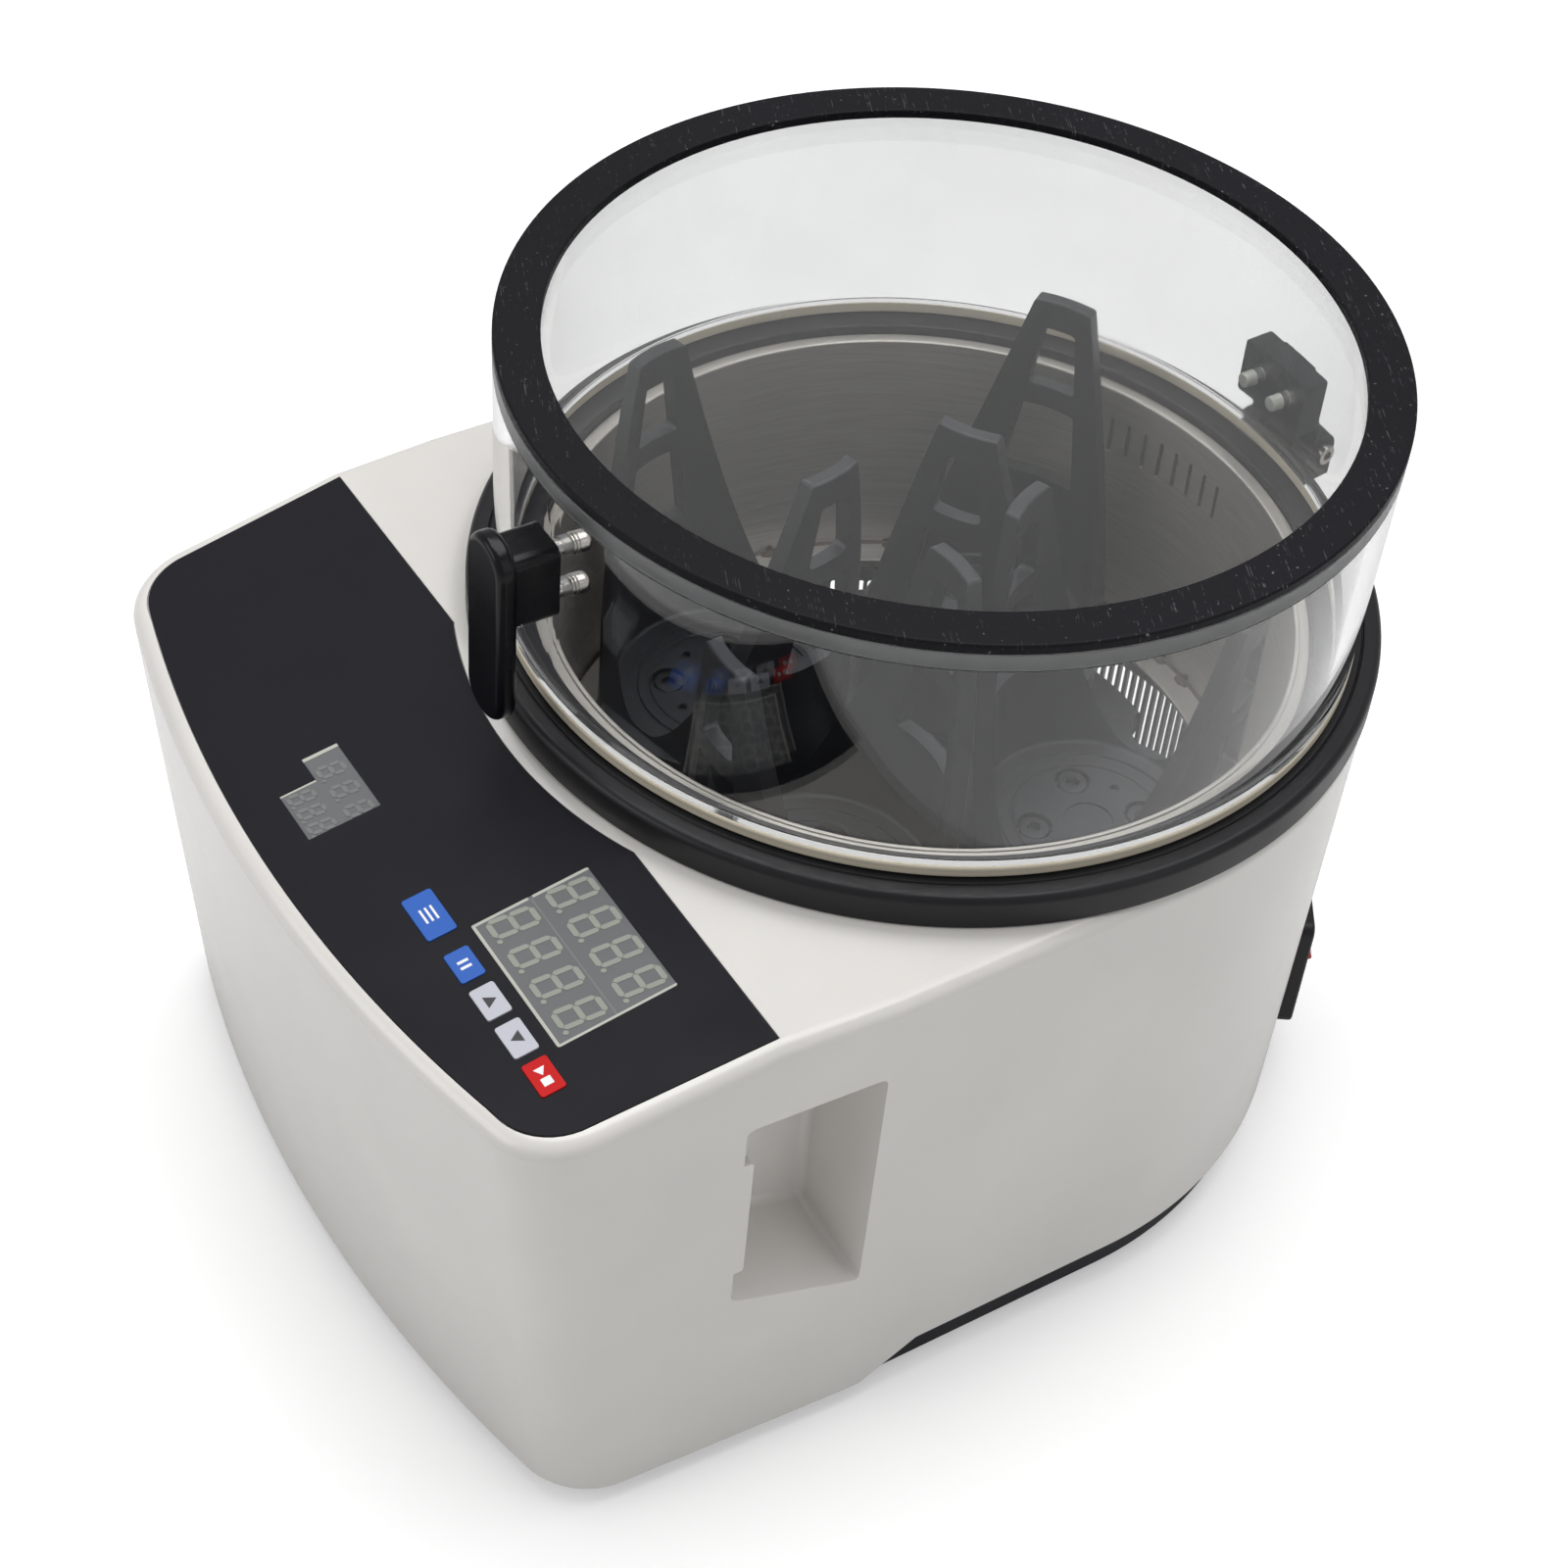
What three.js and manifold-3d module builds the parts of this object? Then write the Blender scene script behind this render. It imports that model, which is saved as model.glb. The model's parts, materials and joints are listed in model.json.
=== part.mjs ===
// A tabletop planetary ball mill: a moulded housing with a sloped control panel, a round steel
// chamber under a hinged clear cover, and four jar holders on a turntable that a belt drives.
// Millimetres, +Z up, +Y to the back. The origin is on the table, under the middle of the mill.
import * as THREE from "three";
import { mergeVertices } from "three/addons/utils/BufferGeometryUtils.js";
import Module from "manifold-3d";

const wasm = await Module();
wasm.setup();

// Clearances and overruns
const gap = 0.3; // between pieces that touch
const over = 2; // how far a cut runs past the face it opens
const runClear = 2; // round what turns inside a bored plate
const mergeTolerance = 0.0001;

// Steps of the round stretches
const ringSteps = 36;
const holderSteps = 20;
const shaftSteps = 16;
const smallSteps = 8;
const cornerSteps = 4;
const bowSteps = 8;
const backSteps = 30;
const filletSteps = 2;

// Jar holders. They stand round the chamber's axis, and the chamber is sized to hold them.
const holderRadius = 42;
const holderSpace = 9.34; // between two neighbours
const holderWall = 5;
const holderFloor = 12;
const holderLift = 6; // from the turntable up to a holder
const holderClear = 9; // from a holder to the bowl's wall
const armHeight = 109.3; // over the holder's floor
const armTopHalf = 9.7;
const armFootHalf = 37;
const armBar = 10.5; // from the top of an arm to its window
const upperWindowHeight = 23;
const crossBar = 8;
const lowerWindowHeight = 29;
const windowTopHalf = 5.5;
const windowTaperShare = 0.13; // run over rise of a window's sides
const floorGrooveInset = 7;
const floorGrooveWidth = 2.5;
const floorGrooveDepth = 0.8;
const holderScrewReach = 18.3;
const counterboreRadius = 6;
const counterboreDepth = 4;
const holderScrews = 4;
const armAngles = [25.5, 122, 193, 271]; // where each holder's arms point, seen from above
const planetStartAngle = 33;
const planetTurn = 90;
const planetShaftRadius = 7;
const planetBearingRadius = 16;
const planetFlangeRadius = 25;
const planetFlangeHeight = 3.4;

// The chamber's bowl
const bowlWall = 1.5;
const bowlBeadHeight = 0.6;
const bowlFloorDrop = 2; // from the holders' undersides to the bowl's floor flange
const bowlFloorWidth = 10;
const louvreCount = 9;
const louvreStartAngle = 90;
const louvrePitchAngle = 3.3;
const louvreWidth = 1.6;
const louvreHeight = 14;
const louvreTopDrop = 2;

// Clear cover
const coverStandoff = 18; // from the bowl's inside to the cover's outside
const coverTaper = 1;
const coverWall = 5;
const coverTopDisc = 6;
const coverTopRing = 3;
const coverHeight = 100; // from the housing's top to the top of the cover's ring
const coverRingWidth = 14.1;
const coverRingChamfer = 0.8;
const sealHeight = 4;
const sealWidth = 4.7;

// Ring round the chamber
const ringRim = 7.7; // how far it stands out round the cover
const ringHeight = 11.5;
const ringSeatClear = 1;
const ringSeatWidth = 2.8;
const ringLedgeHeight = 6.5;
const ringEdgeRadius = 3;
const ringGrooveOffset = 1.5; // outside the cover
const ringGrooveWidth = 1;
const ringGrooveDepth = 0.8;

// Housing. Heights are above the table; reaches are measured from the chamber's axis.
const shellTopZ = 190;
const shellFootRise = 2.7; // from the base's underside to the housing's lower edge
const shellWall = 3.5;
const ringOverhang = 0.7; // how far the ring stands out past the housing's side
const chamberHoleClear = 1.5;
const frontBowRadius = 486;
const frontCornerRadius = 25;
const sideTaperSetback = 42; // the sides start to draw in this far short of the housing's half width
const sideTaper = 5.3;
const sideTaperRun = 90;
const sideDraft = 1.5; // how much narrower the foot is than the top
const frontDraft = 14;
const backDraft = 4;
const topFillet = 5;
const creaseSetback = 6; // the panel slopes down from here, short of the housing's half width
const slopeDrop = 15.1;
const slopeRun = 93.6;
const skirtRiseSetback = 47; // the skirt's lower edge rises here, to the back
const skirtRiseRun = 20;
const skirtRise = 11;

// Hand recess in each side
const recessPastCrease = 11;
const recessLength = 46;
const recessTopDrop = 29; // below the housing's top
const recessFrontHeight = 82;
const recessBackHeight = 96;
const recessDepth = 30;
const recessWall = 3;
const recessFloorRise = 14; // the floor climbs towards the recess's inner end
const recessEndInset = 5;
const recessLipWidth = 4;
const recessLipTopDrop = 16;
const recessLipHeight = 50;

// Rear ventilation grille
const grilleStartAngle = 92;
const grilleSlots = 45;
const grillePitchAngle = 1.45;
const grilleSlotWidth = 2.1;
const grilleSlotHeight = 40;
const grilleLowZ = 37.5;
const grilleMargin = 5;
const grilleThickness = 2;

// Control panel, in its own plane: along is measured from the crease towards the front
const panelRecess = 1;
const panelThickness = 0.9;
const panelBackMargin = 7.1;
const panelFrontMargin = 10.8;
const panelLowerMargin = 5.3;
const panelCornerRadius = 20;
const panelNotchClear = 4.3;
const boardDrop = 9; // from the panel's plane to the board's top
const boardThickness = 1.6;
const boardBackMargin = 5.4;
const boardFrontMargin = 2.7;
const boardLeftMargin = 17.5;
const boardRightMargin = 3.85;
const boardCornerCut = 16;
const mainDisplayWidth = 51.3;
const mainDisplayLength = 37.9;
const mainDisplayBack = 13.4;
const mainDisplayMargin = 27.4; // from the panel's right edge
const tempDisplayWidth = 24;
const tempDisplayLength = 23.1;
const tempDisplayBack = 52.2;
const tempDisplaySpace = 51; // to the left of the main display
const tempStepX = 8; // the display's upper row starts this far to the right
const tempStepAlong = 11;
const keyWidth = 12.1;
const keyLength = 7.8;
const keyPitch = 15.35;
const keyRowAlong = 59.2;
const keyRowMargin = 21.1; // from the panel's right edge to the last key's middle
const menuKeyWidth = 17.3;
const menuKeyLength = 9.5;
const menuKeyPitch = 21.5;
const keyTravel = 0.6;
const keyProud = 0.5;

// Cover handle. Heights are over the housing's top.
const handleWidth = 20;
const handleLow = 11;
const handleHigh = 83;
const handleStandoff = 14;
const handleThickness = 6.5;
const handleEdge = 2;
const handleCornerRadius = 9.6;
const neckWidth = 16;
const neckLow = 51;
const neckHigh = 77;
const neckFillet = 3.5;
const handleBoltHeights = { handle_bolt_1: 70.5, handle_bolt_2: 57 };
const boltRadius = 2.5;
const boltDepthInNeck = 9;
const nutRadius = 4.6;
const nutLength = 8;
const spacerRadius = 3.4;
const spacerLength = 2.5;
const spacerClear = 1.2; // from the cover's round inside to a spacer's flat end

// Cover hinge. Heights are over the housing's top.
const knuckleRadius = 6;
const hingeClear = 0.8; // from the ring to the knuckle
const hingeHeight = 13;
const hingePinRadius = 2.5;
const hingePinHead = 3;
const hingePinHeadRadius = 3.5;
const hingeHalfWidth = 16;
const knuckleHalfWidth = 8;
const leafLow = 21;
const leafHigh = 43;
const leafThickness = 10;
const hingeBoltSpread = 7;
const hingeBoltHeight = 34;
const ringLeafLow = 1.5;

// Base, feet and deck
const footHeight = 5;
const footRadius = 10;
const footTaper = 1;
const footScrewRadius = 3.5;
const footScrewDepth = 2.5;
const footFrontInset = 42;
const footFrontSetback = 57.6;
const footBackInset = 58;
const footBackSetback = 54;
const baseThickness = 3;
const baseRim = 2.5;
const baseRimHeight = 16;
const deckThickness = 5;
const deckHalfWidth = 78;
const deckCornerRadius = 12;
const deckMargin = 3; // past the motor
const postRadius = 7;
const postInset = 14;
const postEdge = 8;

// Drive
const shaftRadius = 12;
const shaftCollarRadius = 15;
const shaftCollarHeight = 3;
const bearingWidth = 10;
const bearingOuterRadius = 21;
const housingFlangeRadius = 42;
const housingFlangeHeight = 6;
const housingWall = 7;
const housingLedge = 3;
const housingHeight = 31.4;
const gearWidth = 12;
const sunTeeth = 44;
const planetTeeth = 22;
const toothRootShare = 0.34; // half widths of a tooth, as shares of the pitch
const toothTipShare = 0.11;
const dedendumShare = 1.25; // of the gears' module
const addendumShare = 0.95;
const sunBoreClear = 1;
const turntableClear = 10; // to the bowl's floor flange
const turntableThickness = 10;
const turntableLift = 4; // from the gears' top to the turntable
const turntableEdge = 2;
const turntableNotchRadius = 14;
const turntableNotchPast = 5;
const hubHeadRadius = 17;
const hubHeadHeight = 6;
const hubHeadEdge = 1.5;
const pulleyHeight = 14;
const pulleyLowZ = 27;
const pulleyClear = 3; // up to the deck
const pulleyFlange = 2;
const pulleyFlangeHeight = 2;
const drivenPulleyRadius = 40;
const motorPulleyRadius = 20;
const pulleyHoleRadius = 9;
const pulleyHoleReach = 26;
const pulleyHoles = 5;
const beltThickness = 2;
const motorClear = 4.5; // to the bowl
const motorRadius = 37;
const motorHeight = 84;
const motorCapHeight = 14;
const motorCapStep = 2.5;
const motorShaftRadius = 7;
const motorShaftInside = 12;

// Speed controller with its heat sink
const controllerWidth = 40;
const controllerLength = 52;
const controllerMargin = 6;
const controllerBase = 8;
const controllerFin = 26;
const controllerFins = 6;
const controllerFinShare = 0.45;

// Mains inlet
const inletAngle = 56;
const inletWidth = 30;
const inletHeight = 48;
const inletBezel = 4;
const inletBodyWidth = 26;
const inletBodyHeight = 44;
const inletBodyDepth = 24;
const inletLift = 0.7; // over the base's rim
const socketWidth = 21;
const socketHeight = 15;
const socketDepth = 15;
const socketDrop = 12; // below the inlet's middle
const socketCorner = 4;
const prongWidth = 2;
const prongThickness = 4;
const prongPitch = 7;
const prongOffset = 2;
const prongRecess = 4;
const rockerRise = 10; // above the inlet's middle
const rockerWidth = 14;
const rockerRadius = 10;
const rockerDepth = 8;
const rockerFrontAngle = 62;
const rockerBackAngle = 115;
const rockerValley = 2.6;
const rockerTilt = 8;

const quarter = Math.PI / 2;
const fullTurn = 360;
const radians = THREE.MathUtils.degToRad;
const degrees = THREE.MathUtils.radToDeg;

// Radii and reaches worked out from the sizes above, from the jar holders outwards
const planetReach = (holderRadius * 2 + holderSpace) / Math.SQRT2;
const gearModule = (planetReach * 2) / (sunTeeth + planetTeeth);
const bowlRadius = planetReach + holderRadius + holderClear;
const bowlFloorRadius = bowlRadius - bowlFloorWidth;
const turntableRadius = bowlFloorRadius - turntableClear;
const coverRadius = bowlRadius + coverStandoff;
const coverFootRadius = coverRadius - coverTaper;
const ringLedgeRadius = bowlRadius + bowlWall + ringSeatClear;
const ringLipRadius = ringLedgeRadius + ringSeatWidth;
const ringOuterRadius = coverRadius + ringRim;
const ringGrooveRadius = coverRadius + ringGrooveOffset;
const shellHalfWidth = ringOuterRadius - ringOverhang;
const creaseReach = shellHalfWidth - creaseSetback;
const shellFrontReach = creaseReach + slopeRun;
const sideTaperStart = shellHalfWidth - sideTaperSetback;
const skirtRiseReach = shellHalfWidth - skirtRiseSetback;
const recessFrontReach = creaseReach + recessPastCrease;
const recessBackReach = recessFrontReach - recessLength;
const hingeReach = ringOuterRadius + knuckleRadius + hingeClear;
const handleBackReach = coverRadius + handleStandoff;
const motorReach = bowlRadius + bowlWall + motorClear + motorRadius;
const deckFrontReach = motorReach + motorRadius + deckMargin;
const postFrontReach = deckFrontReach - deckCornerRadius;
const postX = deckHalfWidth - postInset;
const postBackReach = Math.sqrt((deckHalfWidth - postEdge) ** 2 - postX ** 2);
const controllerX = -deckHalfWidth - controllerWidth / 2;
const controllerReach = deckFrontReach - controllerMargin - controllerLength / 2;
const axisY = (shellFrontReach - hingeReach - knuckleRadius) / 2;

// Heights worked out from the table up
const baseLowZ = footHeight + gap;
const baseTopZ = baseLowZ + baseThickness;
const shellFootZ = baseLowZ + shellFootRise;
const inletMidZ = baseLowZ + baseRimHeight + inletLift + inletBodyHeight / 2;
const deckLowZ = pulleyLowZ + pulleyHeight + pulleyClear;
const deckTopZ = deckLowZ + deckThickness;
const housingTopZ = deckTopZ + gap + housingHeight;
const gearLowZ = housingTopZ + gap;
const gearTopZ = gearLowZ + gearWidth;
const turntableLowZ = gearTopZ + turntableLift;
const turntableTopZ = turntableLowZ + turntableThickness;
const holderLowZ = turntableTopZ + holderLift;
const holderFloorZ = holderLowZ + holderFloor;
const armTopZ = holderFloorZ + armHeight;
const bowlFloorZ = holderLowZ - bowlFloorDrop;
const coverFootZ = shellTopZ + ringHeight + gap + sealHeight + gap;
const coverTopZ = shellTopZ + coverHeight;
const coverDiscTopZ = coverTopZ - coverTopRing - gap;

// The panel's slope, its outline and what is set in it
const slopeAngle = Math.atan2(slopeDrop, slopeRun);
const sideTaperAngle = Math.atan2(sideTaper, sideTaperRun);
const panelBackHalf = shellHalfWidth - panelBackMargin;
const panelFrontHalf = shellHalfWidth - panelFrontMargin;
const panelFrontAlong = Math.hypot(slopeDrop, slopeRun) - panelLowerMargin;
const panelNotchRadius = ringOuterRadius + panelNotchClear;
const mainRight = panelFrontHalf - mainDisplayMargin;
const mainDisplay = areaFrom(mainRight, mainDisplayWidth, mainDisplayBack, mainDisplayLength);
const tempRight = mainDisplay.left - tempDisplaySpace;
const tempDisplay = areaFrom(tempRight, tempDisplayWidth, tempDisplayBack, tempDisplayLength);
const lastKeyX = panelFrontHalf - keyRowMargin;
const keyColors = { key_run_stop: 0xe02626, key_down: 0xe8ecf4, key_up: 0xe8ecf4, key_pause: 0x3f6fd4 };
const keyNames = Object.keys(keyColors);
const keys = Object.fromEntries(
  keyNames.map((name, i) => [name, keyArea(lastKeyX - i * keyPitch, keyWidth, keyLength)]),
);
const pauseKeyX = lastKeyX - (keyNames.length - 1) * keyPitch;
keys.key_menu = keyArea(pauseKeyX - menuKeyPitch, menuKeyWidth, menuKeyLength);
keyColors.key_menu = keyColors.key_pause;

function areaFrom(right, width, back, length) {
  return { left: right - width, right, back, front: back + length };
}

function keyArea(x, width, length) {
  return areaFrom(x + width / 2, width, keyRowAlong - length / 2, length);
}

// A closed geometry as a solid, with its faces turned outwards.
function solidOf(geometry) {
  const loose = geometry.index ? geometry.toNonIndexed() : geometry.clone();
  const bare = new THREE.BufferGeometry();
  bare.setAttribute("position", loose.getAttribute("position"));
  const merged = mergeVertices(bare, mergeTolerance);
  const corners = merged.index.array;
  const kept = [];
  for (let i = 0; i < corners.length; i += 3) {
    const [a, b, c] = [corners[i], corners[i + 1], corners[i + 2]];
    if (a !== b && b !== c && c !== a) kept.push(a, b, c);
  }
  const made = (triVerts) =>
    new wasm.Manifold(
      new wasm.Mesh({
        numProp: 3,
        vertProperties: merged.attributes.position.array,
        triVerts: new Uint32Array(triVerts),
      }),
    );
  const solid = made(kept);
  return solid.volume() < 0 ? made(kept.reverse()) : solid;
}

function geometryOf(solid) {
  const mesh = solid.getMesh();
  const points = new Float32Array(mesh.numVert * 3);
  for (let i = 0; i < mesh.numVert; i++) {
    points.set(mesh.vertProperties.subarray(i * mesh.numProp, i * mesh.numProp + 3), i * 3);
  }
  const geometry = new THREE.BufferGeometry();
  geometry.setAttribute("position", new THREE.BufferAttribute(points, 3));
  geometry.setIndex(new THREE.BufferAttribute(mesh.triVerts, 1));
  return geometry;
}

function cut(base, ...tools) {
  return geometryOf(tools.flat().reduce((solid, tool) => solid.subtract(solidOf(tool)), solidOf(base)));
}

function join(base, ...pieces) {
  return geometryOf(pieces.flat().reduce((solid, piece) => solid.add(solidOf(piece)), solidOf(base)));
}

function common(a, b) {
  return geometryOf(solidOf(a).intersect(solidOf(b)));
}

// A profile of [radius, height] pairs turned round the Z axis.
function turned(profile, steps) {
  const points = profile.map(([radius, height]) => new THREE.Vector2(radius, height));
  const onAxis = profile[0][0] === 0 && profile[profile.length - 1][0] === 0;
  if (!onAxis) points.push(points[0].clone());
  return new THREE.LatheGeometry(points, steps).rotateX(quarter);
}

function rod(radius, lowZ, highZ, steps) {
  const height = highZ - lowZ;
  return new THREE.CylinderGeometry(radius, radius, height, steps)
    .rotateX(quarter)
    .translate(0, 0, lowZ + height / 2);
}

function ring(inner, outer, lowZ, highZ, steps) {
  return turned([[inner, lowZ], [outer, lowZ], [outer, highZ], [inner, highZ]], steps);
}

function box(low, high) {
  const size = high.map((value, i) => value - low[i]);
  const middle = high.map((value, i) => (value + low[i]) / 2);
  return new THREE.BoxGeometry(...size).translate(...middle);
}

// A flat shape drawn in X and Y, standing from lowZ to highZ.
function plate(shape, lowZ, highZ) {
  const settings = { depth: highZ - lowZ, bevelEnabled: false, curveSegments: smallSteps };
  return new THREE.ExtrudeGeometry(shape, settings).translate(0, 0, lowZ);
}

// A flat shape drawn in Y and Z, running from lowX to highX.
function sidePlate(shape, lowX, highX) {
  return plate(shape, lowX, highX).rotateX(quarter).rotateZ(quarter);
}

// A flat shape drawn in X and Z, running from backY towards the front.
function frontPlate(shape, frontY, backY) {
  return plate(shape, -backY, -frontY).rotateX(quarter);
}

function shapeOf(points) {
  return new THREE.Shape(points.map(([x, y]) => new THREE.Vector2(x, y)));
}

function roundedShape(left, right, low, high, radius, steps = cornerSteps) {
  return shapeOf([
    ...arc(right - radius, low + radius, radius, -quarter, 0, steps),
    ...arc(right - radius, high - radius, radius, 0, quarter, steps),
    ...arc(left + radius, high - radius, radius, quarter, Math.PI, steps),
    ...arc(left + radius, low + radius, radius, Math.PI, Math.PI + quarter, steps),
  ]);
}

function sectorShape(inner, outer, startAngle, endAngle) {
  const shape = new THREE.Shape();
  shape.absarc(0, 0, outer, radians(startAngle), radians(endAngle));
  shape.absarc(0, 0, inner, radians(endAngle), radians(startAngle), true);
  return shape;
}

function arc(x, y, radius, start, end, steps) {
  return Array.from({ length: steps + 1 }, (_, i) => {
    const angle = start + ((end - start) * i) / steps;
    return [x + radius * Math.cos(angle), y + radius * Math.sin(angle)];
  });
}

// Rings of [x, y, z] points, all of one count, skinned into a closed solid. The top is closed in
// two flat pieces that meet at the ring's first point and at its fold point.
function loft(rings, fold) {
  const count = rings[0].length;
  const last = (rings.length - 1) * count;
  const faces = [];
  for (let level = 0; level < rings.length - 1; level++) {
    for (let i = 0; i < count; i++) {
      const a = level * count + i;
      const b = level * count + ((i + 1) % count);
      faces.push(a, b, b + count, a, b + count, a + count);
    }
  }
  for (let i = 1; i < count - 1; i++) {
    faces.push(0, i + 1, i);
    const start = i < fold ? 0 : fold;
    const next = i + 1;
    if (i !== fold) faces.push(last + start, last + i, last + next);
  }
  if (fold < count) faces.push(last + fold, last + count - 1, last);
  const geometry = new THREE.BufferGeometry();
  geometry.setAttribute("position", new THREE.Float32BufferAttribute(rings.flat(2), 3));
  geometry.setIndex(faces);
  return geometry;
}

// Outline of the housing seen from above, round the chamber's axis. Lean is 0 at the top and 1 at
// the foot.
function housingOutline(inset, lean) {
  const half = shellHalfWidth - sideDraft * lean;
  const reach = shellFrontReach - frontDraft * lean;
  const depth = shellHalfWidth - backDraft * lean;
  const along = new THREE.Vector2(-Math.sin(sideTaperAngle), -Math.cos(sideTaperAngle));
  const outward = new THREE.Vector2(Math.cos(sideTaperAngle), -Math.sin(sideTaperAngle));
  const bowCentreY = frontBowRadius - reach;
  const corner = new THREE.Vector2(half, -sideTaperStart).addScaledVector(outward, -frontCornerRadius);
  const offset = corner.clone().sub(new THREE.Vector2(0, bowCentreY));
  const toward = offset.dot(along);
  const spare = offset.lengthSq() - (frontBowRadius - frontCornerRadius) ** 2;
  corner.addScaledVector(along, -toward + Math.sqrt(toward * toward - spare));
  const bowEnd = Math.atan2(corner.y - bowCentreY, corner.x);
  const drawnIn = inset + (creaseReach - sideTaperStart) * Math.sin(sideTaperAngle);
  const creaseX = half - drawnIn / Math.cos(sideTaperAngle);
  const taperY = -sideTaperStart + inset * Math.tan(sideTaperAngle / 2);
  const cornerRadius = frontCornerRadius - inset;
  const back = arc(0, 0, 1, 0, Math.PI, backSteps)
    .map(([x, y]) => [x * (half - inset), y * (depth - inset)]);
  const leftCorner = arc(
    -corner.x, corner.y, cornerRadius, Math.PI + sideTaperAngle, Math.PI - bowEnd, cornerSteps,
  );
  const bow = arc(0, bowCentreY, frontBowRadius - inset, -Math.PI - bowEnd, bowEnd, bowSteps).slice(1, -1);
  const rightCorner = arc(corner.x, corner.y, cornerRadius, bowEnd, -sideTaperAngle, cornerSteps);
  const rightSide = [[creaseX, -creaseReach], [half - inset, taperY]];
  const leftSide = [[inset - half, taperY], [-creaseX, -creaseReach]];
  return [...rightSide, ...back, ...leftSide, ...leftCorner, ...bow, ...rightCorner];
}

const creaseIndex = backSteps + 4; // where the outline crosses the crease on the left

function housingTopAt(y) {
  return shellTopZ - Math.max(0, -y - creaseReach) * Math.tan(slopeAngle);
}

// The housing's outer form drawn in by an inset on every face, with its top edge rounded.
function housingBody(inset, lowZ, fillet) {
  const steps = fillet > 0 ? filletSteps : 0;
  const foot = housingOutline(inset, 1).map(([x, y]) => [x, y, lowZ]);
  const upper = Array.from({ length: steps + 1 }, (_, i) => {
    const angle = steps ? (quarter * i) / steps : quarter;
    const drawn = fillet * (1 - Math.cos(angle));
    const drop = fillet * (1 - Math.sin(angle));
    return housingOutline(inset + drawn, 0).map(([x, y]) => [x, y, housingTopAt(y) - inset - drop]);
  });
  return loft([foot, ...upper], creaseIndex);
}

// A rectangle drawn on the panel's plane, cut or built between two heights over that plane.
function panelBlock(area, grow, low, high) {
  return box([area.left - grow, -area.front - grow, low], [area.right + grow, -area.back + grow, high]);
}

// From the panel's plane to the housing's frame.
function onPanel(geometry) {
  return geometry.clone().rotateX(slopeAngle).translate(0, -creaseReach, shellTopZ);
}

// Outline of the printed panel: a bowed front edge, and a round notch at the back for the ring.
function panelShape(grow) {
  const notchHalf = Math.asin(Math.sqrt(panelNotchRadius ** 2 - creaseReach ** 2) / panelNotchRadius);
  const notch = arc(
    0, creaseReach, panelNotchRadius - grow, -quarter - notchHalf, -quarter + notchHalf, bowSteps,
  );
  const bowCentreY = frontBowRadius - panelFrontAlong - grow;
  const cornerX = panelFrontHalf - panelCornerRadius;
  const cornerY = bowCentreY - Math.sqrt((frontBowRadius - panelCornerRadius) ** 2 - cornerX ** 2);
  const bowEnd = Math.atan2(cornerY - bowCentreY, cornerX);
  const radius = panelCornerRadius + grow;
  const right = arc(cornerX, cornerY, radius, 0, bowEnd, cornerSteps);
  const left = arc(-cornerX, cornerY, radius, Math.PI - bowEnd, Math.PI, cornerSteps);
  const bow = arc(0, bowCentreY, frontBowRadius, bowEnd, -Math.PI - bowEnd, bowSteps).slice(1, -1);
  const edge = panelBackHalf + grow;
  return shapeOf([[-edge, grow], ...notch, [edge, grow], ...right, ...bow, ...left]);
}

// The temperature display is two rows, the upper one set to the right.
function tempShape(grow) {
  const { left, right, back, front } = tempDisplay;
  const stepY = -back - tempStepAlong;
  return shapeOf([
    [left - grow, -front - grow],
    [right - tempStepX / 2 + grow, -front - grow],
    [right - tempStepX / 2 + grow, stepY - grow],
    [right + grow, stepY - grow],
    [right + grow, -back + grow],
    [left + tempStepX - grow, -back + grow],
    [left + tempStepX - grow, stepY + grow],
    [left - grow, stepY + grow],
  ]);
}

function panelCuts(low, high) {
  return [
    panelBlock(mainDisplay, gap, low, high),
    plate(tempShape(gap), low, high),
    ...Object.values(keys).map((key) => panelBlock(key, gap, low, high)),
  ];
}

// One hand recess: its mouth in the side wall is a slanted four-cornered opening.
function recessHollow(grow) {
  const mouth = shellHalfWidth + over;
  const end = shellHalfWidth - recessDepth - grow;
  const front = recessFrontReach + grow;
  const back = recessBackReach - grow;
  const topZ = shellTopZ - recessTopDrop + grow;
  const frontLowZ = topZ - recessFrontHeight - grow * 2;
  const backLowZ = topZ - recessBackHeight - grow * 2;
  const inner = [
    [end, -front + recessEndInset, topZ - recessEndInset],
    [end, -front + recessEndInset, frontLowZ + recessFloorRise],
    [end, -back - recessEndInset, backLowZ + recessFloorRise],
    [end, -back - recessEndInset, topZ - recessEndInset],
  ];
  const outer = [
    [mouth, -front, topZ],
    [mouth, -front, frontLowZ],
    [mouth, -back, backLowZ],
    [mouth, -back, topZ],
  ];
  return loft([inner, outer], inner.length);
}

function recessLip() {
  const front = -recessFrontReach - gap;
  const topZ = shellTopZ - recessTopDrop - recessLipTopDrop;
  const low = [shellHalfWidth - shellWall * 2, front, topZ - recessLipHeight];
  return box(low, [shellHalfWidth + over, -recessFrontReach + recessLipWidth, topZ]);
}

function mirrored(geometry) {
  return geometry.clone().scale(-1, 1, 1);
}

// A radial cutter or piece: drawn with X to the side and Y outwards, turned to an angle.
function radial(geometry, angle) {
  return geometry.clone().rotateZ(radians(angle) - quarter);
}

function grilleBand(margin, inner, outer) {
  const spare = degrees(margin / shellHalfWidth);
  const endAngle = grilleStartAngle + (grilleSlots - 1) * grillePitchAngle;
  const shape = sectorShape(inner, outer, grilleStartAngle - spare, endAngle + spare);
  return plate(shape, grilleLowZ - margin, grilleLowZ + grilleSlotHeight + margin);
}

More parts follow.
